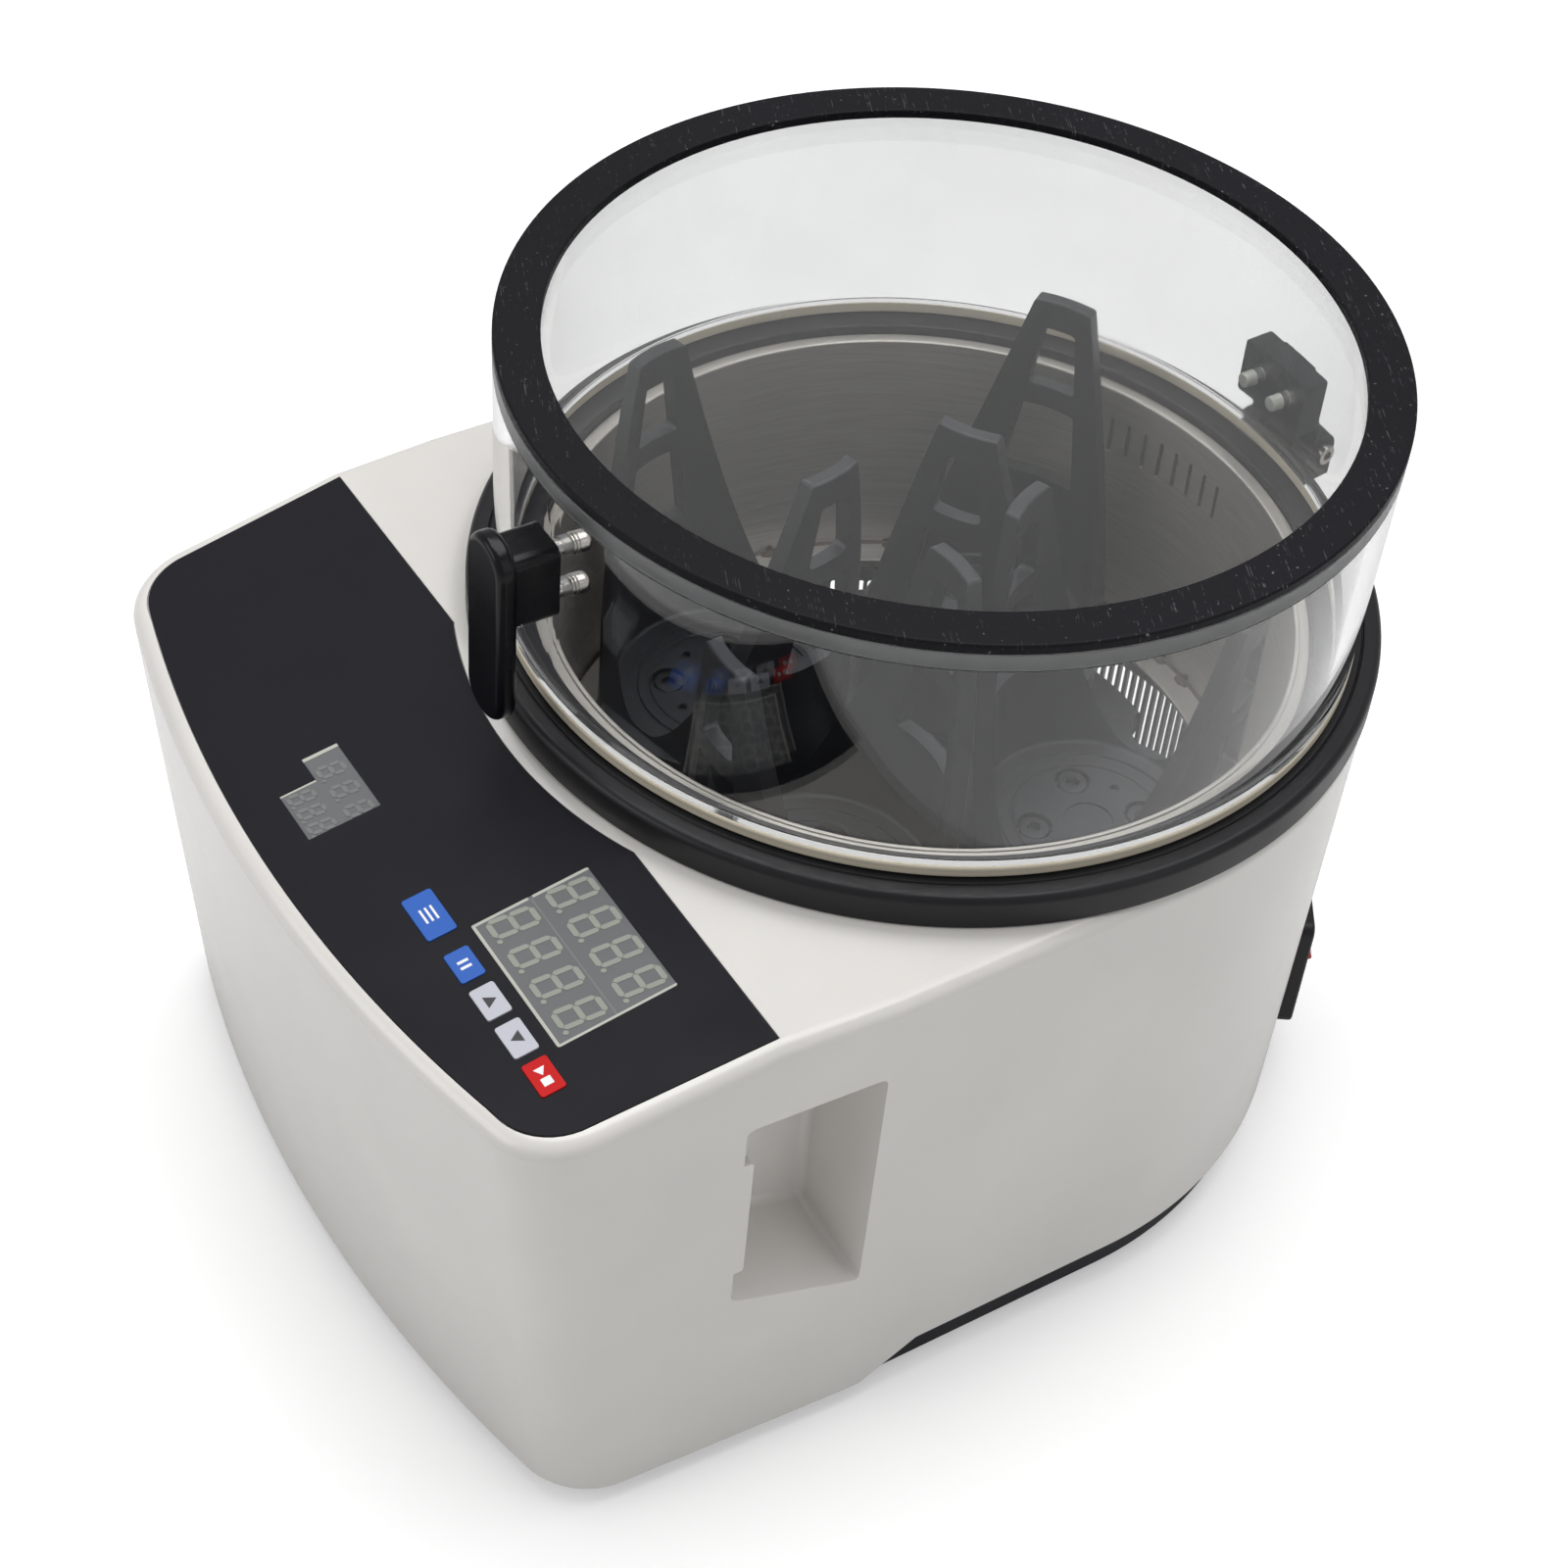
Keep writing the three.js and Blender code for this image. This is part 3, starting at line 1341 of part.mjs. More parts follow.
add("drive_belt", beltGeometry(), rubber());
add("motor", motorGeometry(), paint(0x55585c, 0.5, 0.5), 0, -motorReach);
const rotorShaft = rod(motorShaftRadius, pulleyLowZ - over, deckTopZ + motorShaftInside, shaftSteps);
add("motor_shaft", rotorShaft, steel(), 0, -motorReach);
add("motor_pulley", pulleyGeometry(motorPulleyRadius, motorShaftRadius + gap), darkSteel(), 0, -motorReach);
add("speed_controller", controllerGeometry(), paint(0x2c2f33, 0.5, 0.4), controllerX, -controllerReach);

const holder = holderGeometry();
const planetShaft = planetShaftGeometry();
const planetGear = plate(gearShape(planetTeeth, planetShaftRadius + gap), gearLowZ, gearTopZ);
const planetBearing = ring(planetShaftRadius + gap, planetBearingRadius, 0, turntableThickness, shaftSteps);
armAngles.forEach((armAngle, i) => {
  const angle = radians(planetStartAngle + i * planetTurn);
  const x = planetReach * Math.cos(angle);
  const y = planetReach * Math.sin(angle);
  const mesh = add(`jar_holder_${i + 1}`, holder, darkSteel(), x, y);
  mesh.rotation.z = radians(armAngle) - quarter;
  add(`planet_shaft_${i + 1}`, planetShaft, steel(), x, y);
  const gear = add(`planet_gear_${i + 1}`, planetGear, darkSteel(), x, y);
  gear.rotation.z = angle + Math.PI + Math.PI / planetTeeth;
  const outerRace = add(`planet_bearing_${i + 1}`, planetBearing, steel(), x, y, turntableLowZ);
  outerRace.rotation.z = angle - quarter;
});

const inlet = new THREE.Group();
inlet.rotation.z = radians(inletAngle) - quarter;
aroundAxis.add(inlet);
add("mains_inlet", inletGeometry(), black(), 0, 0, 0, inlet);
const rockerY = shellHalfWidth + gap + inletBezel - rockerValley;
add("rocker_switch", rockerGeometry(), paint(0xc02020, 0.4, 0), 0, rockerY, inletMidZ + rockerRise, inlet);

export default mill;
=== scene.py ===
# The looks of a tabletop planetary ball mill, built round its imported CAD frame.
# Pieces are drawn in millimetres round the chamber's axis, and placed in the frame's metres.
import json
import math
import random

import bmesh
import bpy
from mathutils import Matrix, Vector


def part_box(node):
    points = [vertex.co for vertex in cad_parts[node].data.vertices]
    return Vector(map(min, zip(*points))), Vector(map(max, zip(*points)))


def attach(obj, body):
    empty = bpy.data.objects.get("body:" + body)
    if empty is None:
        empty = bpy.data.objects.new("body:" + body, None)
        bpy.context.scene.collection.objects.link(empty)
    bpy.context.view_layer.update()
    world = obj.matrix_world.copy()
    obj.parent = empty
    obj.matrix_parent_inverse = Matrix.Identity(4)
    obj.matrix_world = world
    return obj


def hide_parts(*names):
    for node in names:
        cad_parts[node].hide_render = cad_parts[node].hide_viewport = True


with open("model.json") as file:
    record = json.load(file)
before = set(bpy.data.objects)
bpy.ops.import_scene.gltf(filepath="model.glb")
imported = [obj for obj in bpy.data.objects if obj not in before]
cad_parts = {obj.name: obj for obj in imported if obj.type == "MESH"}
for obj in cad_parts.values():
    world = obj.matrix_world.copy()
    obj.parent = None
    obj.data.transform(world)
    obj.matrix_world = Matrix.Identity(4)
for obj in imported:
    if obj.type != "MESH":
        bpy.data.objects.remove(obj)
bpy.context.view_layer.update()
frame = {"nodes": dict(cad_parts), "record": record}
scene = bpy.context.scene
random.seed(7)

MM = 0.001
GAP = 0.3  # clear space between neighbouring pieces
OVER = 2.0  # how far a cutter runs past what it cuts
EDGE_ANGLE = 32
SLIVER = 0.003  # edges shorter than this, which cuts leave, are closed up

# The frame's own places, in millimetres
ring_low, ring_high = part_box("body_ring")
AXIS_Y = (ring_low.y + ring_high.y) / 2
RING_RADIUS = (ring_high.x - ring_low.x) / 2 / MM
RING_LOW = ring_low.z / MM
RING_TOP = ring_high.z / MM
TOP_Z = RING_LOW - GAP
HOLDER_LOW, ARM_TOP = (corner.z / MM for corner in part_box("jar_holder_1"))
TURNTABLE_LOW, TURNTABLE_TOP = (corner.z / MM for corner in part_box("turntable"))
SHAFT_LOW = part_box("main_shaft")[0].z / MM
TO_FRAME = Matrix.Translation((0, AXIS_Y, 0)) @ Matrix.Scale(MM, 4)

# The chamber's bowl
BOWL_RADIUS = 117
BOWL_FLOOR = HOLDER_LOW - 2
WELD_ANGLES = (170.5, 148.5, 93.6, 87.2, -128, -64)

# Steps of the round stretches
ROUND = 192
HOLDER_STEPS = 96
SMALL = 24
FINE = 48
CORNER = 10
FILLET = 5


# Placing

def shift(x=0, y=0, z=0):
    return Matrix.Translation((x, y, z))


def turn(angle, axis="Z"):
    return Matrix.Rotation(math.radians(angle), 4, axis)


def radial(angle):
    """From a drawing with Y outwards to that direction round the chamber's axis."""
    return turn(angle - 90)


# A drawing that stands up facing the front, and one of Y and Z that runs along X
UPRIGHT = turn(90, "X")
ALONG_X = Matrix(((0, 0, 1, 0), (1, 0, 0, 0), (0, 1, 0, 0), (0, 0, 0, 1)))


# Meshes

def link(obj):
    scene.collection.objects.link(obj)
    return obj


def rework(data, change):
    work = bmesh.new()
    work.from_mesh(data)
    change(work)
    work.to_mesh(data)
    work.free()


def mesh_piece(name, points, faces, place=None):
    matrix = TO_FRAME @ (place or Matrix.Identity(4))
    data = bpy.data.meshes.new(name)
    data.from_pydata([matrix @ Vector(p) for p in points], [], faces)
    rework(data, lambda work: bmesh.ops.recalc_face_normals(work, faces=work.faces))
    return link(bpy.data.objects.new(name, data))


def settled(piece):
    """The piece with its modifiers built into its mesh."""
    bpy.context.view_layer.update()
    graph = bpy.context.evaluated_depsgraph_get()
    data = bpy.data.meshes.new_from_object(piece.evaluated_get(graph))
    piece.modifiers.clear()
    piece.data = data
    return piece


def carve(piece, *cutters, operation="DIFFERENCE"):
    for cutter in cutters:
        step = piece.modifiers.new("carve", "BOOLEAN")
        step.operation = operation
        step.solver = "EXACT"
        step.object = cutter
    settled(piece)
    for cutter in cutters:
        bpy.data.objects.remove(cutter)
    dist = SLIVER * MM
    rework(piece.data, lambda work: bmesh.ops.dissolve_degenerate(work, dist=dist, edges=work.edges))
    return piece


def fuse(piece, *others):
    return carve(piece, *others, operation="UNION")


def gather(pieces):
    """Separate closed meshes as one object, with nothing joined."""
    first, *rest = pieces
    work = bmesh.new()
    for piece in pieces:
        work.from_mesh(piece.data)
    work.to_mesh(first.data)
    work.free()
    for piece in rest:
        bpy.data.objects.remove(piece)
    return first


def soften(piece, width, segments=2, angle=EDGE_ANGLE):
    step = piece.modifiers.new("soften", "BEVEL")
    step.width = width * MM
    step.segments = segments
    step.limit_method = "ANGLE"
    step.angle_limit = math.radians(angle)
    step.miter_outer = "MITER_ARC"
    step.use_clamp_overlap = True
    return settled(piece)


def arc(x, y, radius, start, end, steps):
    angles = [math.radians(start + (end - start) * i / steps) for i in range(steps + 1)]
    return [(x + radius * math.cos(a), y + radius * math.sin(a)) for a in angles]


def circle(radius, steps):
    return arc(0, 0, radius, 0, 360 - 360 / steps, steps - 1)


def band(low, count):
    """Faces between a ring of points, which starts at low, and the next ring."""
    pairs = [(low + i, low + (i + 1) % count) for i in range(count)]
    return [(here, after, after + count, here + count) for here, after in pairs]


CORNER_SHARE = 0.49  # of an edge, which one rounded corner may take


def rounded(points, radius, steps=FILLET, closed=True):
    """A polyline with each corner rounded. A corner may carry its own radius as a third number."""
    result = []
    for i, (x, y, *own) in enumerate(points):
        here = Vector((x, y))
        wanted = own[0] if own else radius
        if wanted <= 0 or not closed and i in (0, len(points) - 1):
            result.append(tuple(here))
            continue
        before, after = (Vector(points[j % len(points)][:2]) - here for j in (i - 1, i + 1))
        half = before.angle(after) / 2
        longest = min(before.length, after.length) * CORNER_SHARE
        reach = min(wanted / math.tan(half), longest)
        inward = (before.normalized() + after.normalized()).normalized()
        middle = here + inward * (reach * math.tan(half) / math.sin(half))
        first, last = (here + edge.normalized() * reach - middle for edge in (before, after))
        swing = first.angle_signed(last)
        for step in range(steps + 1):
            result.append(tuple(middle + Matrix.Rotation(-swing * step / steps, 2) @ first))
    return result


def lathe(name, profile, rounding=0.0, steps=ROUND, place=None, fillet=FILLET):
    """A profile of (radius, height) corners turned round Z, closed on the axis or on itself."""
    on_axis = profile[0][0] == profile[-1][0] == 0
    points, rings = [], []
    for radius, height in rounded(profile, rounding, fillet, not on_axis):
        if radius == 0:
            rings.append([len(points)] * steps)
            points.append((0, 0, height))
            continue
        rings.append(list(range(len(points), len(points) + steps)))
        points += [(x, y, height) for x, y in circle(radius, steps)]
    pairs = list(zip(rings, rings[1:])) + ([] if on_axis else [(rings[-1], rings[0])])
    faces = []
    for low, high in pairs:
        for i in range(steps):
            corners = [low[i], low[(i + 1) % steps], high[(i + 1) % steps], high[i]]
            face = list(dict.fromkeys(corners))
            if len(face) > 2:
                faces.append(face)
    return mesh_piece(name, points, faces, place)


def prism(name, outline, low, high, place=None):
    count = len(outline)
    points = [(x, y, z) for z in (low, high) for x, y in outline]
    caps = [tuple(reversed(range(count))), tuple(range(count, 2 * count))]
    return mesh_piece(name, points, band(0, count) + caps, place)


def rectangle(left, right, low, high):
    return [(left, low), (right, low), (right, high), (left, high)]


def block(name, low, high, place=None):
    return prism(name, rectangle(low[0], high[0], low[1], high[1]), low[2], high[2], place)


def rod(radius, low, high, steps=SMALL, place=None):
    return prism("rod", circle(radius, steps), low, high, place)


def rounded_rectangle(left, right, low, high, radius, steps=CORNER):
    return rounded(rectangle(left, right, low, high), radius, steps)


def centred(half, rise, radius):
    return rounded_rectangle(-half, half, -rise, rise, radius)


# Materials

class Nodes:
    """A node tree, with short ways to add to it."""

    def __init__(self, tree):
        self.tree = tree

    def feed(self, socket, value):
        """The socket gets another node's output, or a plain value."""
        if isinstance(value, bpy.types.NodeSocket):
            self.tree.links.new(value, socket)
        else:
            socket.default_value = value

    def node(self, kind, inputs=(), **settings):
        made = self.tree.nodes.new(kind)
        for key, value in settings.items():
            setattr(made, key, value)
        for key, value in dict(inputs).items():
            self.feed(made.inputs[key], value)
        return made

    def maths(self, operation, *values):
        made = self.node("ShaderNodeMath", enumerate(values), operation=operation)
        return made.outputs["Value"]

    def vector(self, operation, *values):
        made = self.node("ShaderNodeVectorMath", enumerate(values), operation=operation)
        return made.outputs["Value" if operation in ("LENGTH", "DISTANCE") else "Vector"]

    def spread(self, value, low, high, start=0.3, end=0.7):
        """The stretch from start to end, laid over low to high."""
        made = self.node("ShaderNodeMapRange", {
            "Value": value, "From Min": start, "From Max": end, "To Min": low, "To Max": high,
        })
        return made.outputs["Result"]

    def seen(self):
        """One where the camera looks, straight or through the clear cover, and zero for other rays."""
        rays = self.node("ShaderNodeLightPath").outputs
        return self.maths("MAXIMUM", rays["Is Camera Ray"], rays["Is Transmission Ray"])


class Look(Nodes):
    """A procedural material: one Principled shader and the nodes that drive it."""

    def __init__(self, name, color, roughness, metallic=0.0):
        self.material = bpy.data.materials.new(name)
        self.material.use_nodes = True
        super().__init__(self.material.node_tree)
        self.shader = self.tree.nodes["Principled BSDF"]
        self.color = (*color, 1)
        self.roughness = roughness
        self.set(base_color=self.color, roughness=roughness, metallic=metallic)
        self.where = self.node("ShaderNodeTexCoord").outputs["Object"]

    def set(self, **values):
        for key, value in values.items():
            socket = key.replace("_", " ").title().replace("Ior", "IOR")
            self.feed(self.shader.inputs[socket], value)
        return self

    def surface(self, shader):
        self.feed(self.tree.nodes["Material Output"].inputs["Surface"], shader)
        return self

    def noise(self, scale, detail=3.0, where=None, stretch=None):
        where = where or self.where
        if stretch:
            where = self.node("ShaderNodeMapping", {"Scale": stretch, "Vector": where}).outputs["Vector"]
        made = self.node("ShaderNodeTexNoise", {"Scale": scale, "Detail": detail, "Vector": where})
        return made.outputs["Fac"]

    def tint(self, value, other, share=1.0):
        """The base colour runs to another colour as value goes to one."""
        base = self.shader.inputs["Base Color"]
        mix = self.node("ShaderNodeMix", {
            "A": base.links[0].from_socket if base.is_linked else self.color,
            "B": (*other, 1), "Factor": self.spread(value, 0, share),
        }, data_type="RGBA")
        return self.set(base_color=mix.outputs["Result"])

    def worn(self, value, change):
        return self.set(roughness=self.spread(value, self.roughness - change, self.roughness + change))

    def bump(self, value, height, distance):
        made = self.node("ShaderNodeBump", {
            "Strength": height, "Distance": distance * MM, "Height": value,
        })
        return self.set(normal=made.outputs["Normal"])

    def around(self, centre, across, along, upward):
        """Coordinates for marks that run round a vertical axis: dense across, long along."""
        away = self.vector("SUBTRACT", self.where, (*centre, 0))
        flat = self.vector("MULTIPLY", away, (1, 1, 0))
        run = self.vector("MULTIPLY", self.vector("NORMALIZE", flat), (along, along, 0))
        height = self.node("ShaderNodeSeparateXYZ", {"Vector": away}).outputs["Z"]
        reach = self.maths("MULTIPLY", self.vector("LENGTH", flat), across)
        rise = self.node("ShaderNodeCombineXYZ", {"Z": self.maths("MULTIPLY_ADD", height, upward, reach)})
        return self.vector("ADD", run, rise.outputs["Vector"])

    def near(self, places, reach):
        """One at each of these places, in the frame's metres, and zero a reach away."""
        total = 0.0
        for place in places:
            away = self.vector("DISTANCE", self.where, place)
            total = self.maths("MAXIMUM", total, self.spread(away, 1, 0, 0, reach * MM))
        return total

    def lets_light_through(self):
        """Rays from lamps pass straight through, as they do through clear plastic."""
        mix = self.node("ShaderNodeMixShader", {
            0: self.node("ShaderNodeLightPath").outputs["Is Shadow Ray"],
            1: self.shader.outputs["BSDF"],
            2: self.node("ShaderNodeBsdfTransparent").outputs["BSDF"],
        })
        return self.surface(mix.outputs["Shader"])


AXIS = (0, AXIS_Y)


def shaded(color, share):
    return [part * share for part in color]


def moulded(name, color, roughness, grain=900, depth=0.12, wear=0.05, sheen=0.5):
    """Plastic or paint: a fine grain, slightly uneven in shade and gloss."""
    look = Look(name, color, roughness).set(specular_ior_level=sheen)
    look.tint(look.noise(14), shaded(color, 0.93))
    look.worn(look.noise(35, 4), wear)
    return look.bump(look.noise(grain, 2), depth, 0.05)


def machined(name, color, roughness, centre=AXIS, across=9000, along=6, wear=0.08, depth=0.25, upward=9000):
    """Turned metal, with its marks round a vertical axis through the centre."""
    look = Look(name, color, roughness, 1.0)
    marks = look.noise(1, 4, look.around(centre, across, along, upward))
    look.tint(look.noise(30, 4), shaded(color, 0.8))
    look.worn(marks, wear)
    return look.bump(marks, depth, 0.04)


black_gloss = moulded("black_gloss", (0.004, 0.004, 0.006), 0.26, 700, 0.08, 0.05, 0.25)
black_matt = moulded("black_matt", (0.012, 0.013, 0.017), 0.5, 1500, 0.3, 0.06, 0.2)
ring_look = moulded("ring_plastic", (0.01, 0.01, 0.012), 0.36, 1200, 0.15, 0.06, 0.3)
red_rocker = moulded("red_rocker", (0.45, 0.01, 0.01), 0.3, 900, 0.1, 0.05)
key_print = moulded("key_print", (0.85, 0.86, 0.88), 0.5, 2000, 0.1, 0.04)
dark_print = moulded("dark_print", (0.03, 0.03, 0.035), 0.5, 2000, 0.1, 0.04)
segment_lit = moulded("segments", (0.3, 0.315, 0.275), 0.5, 900, 0.1, 0.05, 0.3)
segment_dim = moulded("dim_segments", (0.185, 0.193, 0.19), 0.5, 900, 0.1, 0.05, 0.3)
rim_look = moulded("module_rim", (0.52, 0.52, 0.47), 0.5, 900, 0.1, 0.05, 0.3)
zinc = moulded("zinc_screw", (0.36, 0.37, 0.34), 0.42, 1200, 0.2, 0.1).set(metallic=0.3)


def polished_steel():
    look = Look("bright_steel", (0.62, 0.6, 0.57), 0.2, 1.0)
    look.tint(look.noise(90, 4), (0.42, 0.4, 0.37))
    return look.worn(look.noise(220, 3), 0.08)


def bowl_steel():
    """Sheet steel with marks round the bowl, faint stains and burnt spots at the welds."""
    look = Look("bowl_steel", (0.5, 0.485, 0.455), 0.38, 0.6)
    marks = look.noise(1, 4, look.around(AXIS, 1400, 4, 1400))
    look.tint(marks, (0.4, 0.385, 0.36))
    look.tint(look.noise(9, 5), (0.36, 0.335, 0.3), 0.6)
    spots = [TO_FRAME @ radial(angle) @ Vector((0, BOWL_RADIUS, BOWL_FLOOR)) for angle in WELD_ANGLES]
    ragged = look.spread(look.noise(320, 3), 0.55, 1)
    burnt = look.maths("MULTIPLY", look.near(spots, 8), ragged)
    look.tint(look.spread(burnt, 0, 1, 0.35, 0.75), (0.08, 0.05, 0.033))
    look.worn(marks, 0.06)
    return look.bump(marks, 0.1, 0.03)


def weld_metal():
    look = Look("weld", (0.08, 0.05, 0.03), 0.55, 0.4)
    look.tint(look.noise(900, 4), (0.03, 0.022, 0.018))
    return look.bump(look.noise(1500, 3), 0.8, 0.3)


def scored_ring():
    """The cover's top ring: black plate with fine pale saw marks, all running one way."""
    look = Look("scored_ring", (0.009, 0.009, 0.012), 0.45).set(specular_ior_level=0.1)
    lie = look.node("ShaderNodeMapping", {
        "Rotation": (0, 0, math.radians(-24)), "Vector": look.where,
    }, vector_type="TEXTURE").outputs["Vector"]
    scratches = look.noise(260, 2, lie, (0.35, 9, 1))
    fine = look.noise(900, 2, lie, (0.6, 4, 1))
    broken = look.spread(look.noise(420, 3), 0.1, 1, 0.42, 0.6)
    look.tint(look.maths("MULTIPLY", look.spread(scratches, 0, 1, 0.6, 0.7), broken), (0.1, 0.1, 0.105))
    look.tint(look.spread(look.noise(700, 1), 0, 1, 0.72, 0.78), (0.2, 0.2, 0.2))
    look.tint(look.noise(12, 3), (0.007, 0.007, 0.009))
    look.worn(fine, 0.1)
    return look.bump(fine, 0.3, 0.03)


def clear_acrylic(name, color, roughness, haze):
    look = Look(name, color, roughness).set(transmission_weight=1.0, ior=1.49)
    smudge = look.noise(16, 5)
    look.tint(smudge, haze)
    look.set(roughness=look.spread(smudge, roughness, roughness + 0.05, 0.5, 0.75))
    return look.lets_light_through()


frosted = clear_acrylic("frosted_acrylic", (0.9, 0.91, 0.92), 0.35, (0.85, 0.86, 0.86))
weld_look = weld_metal()
top_ring_look = scored_ring()
slot_looks = {
    "white_plastic": moulded("white_shell", (0.73, 0.71, 0.68), 0.25, 700, 0.008, 0.015),
    "black_plastic": moulded("black_plastic", (0.01, 0.01, 0.012), 0.4, 1400, 0.2, 0.07, 0.3),
    "panel_film": moulded("panel_film", (0.009, 0.009, 0.013), 0.5, 2200, 0.25, 0.05, 0.15),
    "smoked_window": moulded("smoked_window", (0.14, 0.142, 0.15), 0.45, 300, 0.05, 0.06, 0.3),
    "blue_key": moulded("blue_key", (0.03, 0.125, 0.5), 0.42, 2000, 0.1, 0.05, 0.2),
    "white_key": moulded("white_key", (0.54, 0.55, 0.61), 0.42, 2000, 0.1, 0.05, 0.2),
    "red_key": moulded("red_key", (0.55, 0.005, 0.005), 0.42, 2000, 0.1, 0.05, 0.15),
    "circuit_board": moulded("circuit_board", (0.02, 0.16, 0.06), 0.4, 900, 0.3, 0.08),
    "rubber": moulded("rubber", (0.02, 0.02, 0.02), 0.8, 1300, 0.6, 0.08, 0.3),
    "seal_rubber": moulded("seal_rubber", (0.55, 0.5, 0.4), 0.62, 500, 0.5, 0.1),
    "acrylic": clear_acrylic("acrylic", (0.872, 0.874, 0.874), 0.01, (0.83, 0.834, 0.832)),
    "stainless": bowl_steel(),
    "bright_steel": polished_steel(),
    "steel": machined("machined_steel", (0.42, 0.42, 0.41), 0.34),
    "dark_steel": machined("dark_steel", (0.06, 0.062, 0.068), 0.4, AXIS, 1500, 6, 0.06, 0.1, 900),
    "cast_metal": moulded("cast_metal", (0.3, 0.31, 0.32), 0.55, 500, 0.8, 0.08).set(metallic=0.8),
}
slot_looks["white_plastic"].set(coat_weight=0.25, coat_roughness=0.1)
node_slots = {part["node"]: part["material_slot"] for part in frame["record"]["subparts"]}
bodies = frame["record"]["behaviour"]["bodies"]
node_bodies = {node: body for body, members in bodies.items() for node in members}
for node, node_slot in node_slots.items():
    mesh = frame["nodes"][node].data
    mesh.materials.clear()
    mesh.materials.append(slot_looks[node_slot].material)


def dress(piece, body, slot, look=None, angle=EDGE_ANGLE):
    """The piece rides on its body, with smooth shading and a look, which is its slot's if none is given."""
    piece.data.materials.clear()
    piece.data.materials.append((look or slot_looks[slot]).material)
    piece.data.shade_smooth()
    piece.data.set_sharp_from_angle(angle=math.radians(angle))
    weigh = piece.modifiers.new("weigh", "WEIGHTED_NORMAL")
    weigh.keep_sharp = True
    settled(piece)
    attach(piece, body)


def stand_in(piece, node, look=None, angle=EDGE_ANGLE):
    """The piece takes the place of a CAD node, which is hidden, and rides on the node's body, with the look
    of the node's slot if none is given.
    """
    dress(piece, node_bodies[node], node_slots[node], look, angle)
    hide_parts(node)


# Housing

HALF_WIDTH = 142
FRONT_REACH = 229.6
WALL = 3.5
FOOT_Z = 8
BOW_RADIUS = 486
CORNER_RADIUS = 25
TAPER_START = 100
TAPER_ANGLE = math.atan2(5.3, 90)
SIDE_DRAFT = 1.5
FRONT_DRAFT = 14
BACK_DRAFT = 4
TOP_FILLET = 5
TOP_STEPS = 8
CREASE = 136
SLOPE = math.atan2(15.1, 93.6)
ON_PANEL = shift(0, -CREASE, TOP_Z) @ Matrix.Rotation(SLOPE, 4, "X")
SHELL_EDGE_ANGLE = 28


def housing_outline(inset, lean):
    """The housing from above: at the top where lean is 0, and at the foot where it is 1."""
    half = HALF_WIDTH - SIDE_DRAFT * lean
    reach = FRONT_REACH - FRONT_DRAFT * lean
    depth = HALF_WIDTH - BACK_DRAFT * lean
    along = Vector((-math.sin(TAPER_ANGLE), -math.cos(TAPER_ANGLE)))
    outward = Vector((math.cos(TAPER_ANGLE), -math.sin(TAPER_ANGLE)))
    bow_y = BOW_RADIUS - reach
    corner = Vector((half, -TAPER_START)) - outward * CORNER_RADIUS
    offset = corner - Vector((0, bow_y))
    toward = offset.dot(along)
    spare = offset.length_squared - (BOW_RADIUS - CORNER_RADIUS) ** 2
    corner += along * (-toward + math.sqrt(toward ** 2 - spare))
    bow_end = math.degrees(math.atan2(corner.y - bow_y, corner.x))
    taper = math.degrees(TAPER_ANGLE)
    crease_x = half - (inset + (CREASE - TAPER_START) * math.sin(TAPER_ANGLE)) / math.cos(TAPER_ANGLE)
    taper_y = -TAPER_START + inset * math.tan(TAPER_ANGLE / 2)
    radius = CORNER_RADIUS - inset
    back = [(x * (half - inset), y * (depth - inset)) for x, y in arc(0, 0, 1, 0, 180, ROUND // 2)]
    left = arc(-corner.x, corner.y, radius, 180 + taper, 180 - bow_end, CORNER * 2)
    bow = arc(0, bow_y, BOW_RADIUS - inset, -180 - bow_end, bow_end, ROUND // 6)[1:-1]
    right = arc(corner.x, corner.y, radius, bow_end, -taper, CORNER * 2)
    side = [(crease_x, -CREASE), (half - inset, taper_y)]
    return side + back + [(inset - half, taper_y), (-crease_x, -CREASE)] + left + bow + right


def housing_top(y):
    return TOP_Z - max(0, -y - CREASE) * math.tan(SLOPE)


def housing_body(name, inset, low, fillet):
    foot = [(x, y, low) for x, y in housing_outline(inset, 1)]
    rings = [foot]
    steps = TOP_STEPS if fillet else 0
    for i in range(steps + 1):
        angle = math.pi / 2 * (i / steps if steps else 1)
        drawn = fillet * (1 - math.cos(angle))
        drop = fillet * (1 - math.sin(angle))
        ring = housing_outline(inset + drawn, 0)
        rings.append([(x, y, housing_top(y) - inset - drop) for x, y in ring])
    count = len(foot)
    fold = ROUND // 2 + 4  # the outline's far crease corner
    top = (len(rings) - 1) * count
    points = [p for ring in rings for p in ring]
    faces = [face for low in range(0, top, count) for face in band(low, count)]
    faces.append(tuple(reversed(range(count))))
    faces.append(tuple(top + i for i in range(fold + 1)))
    faces.append(tuple([top] + [top + i for i in range(fold, count)]))
    return mesh_piece(name, points, faces)


RECESS = {"front": 147, "back": 101, "drop": 29, "front_height": 82, "back_height": 96, "depth": 30}
RECESS_WALL = 3
RECESS_RISE = 14
RECESS_END = 5
RECESS_ROUND = 2.6


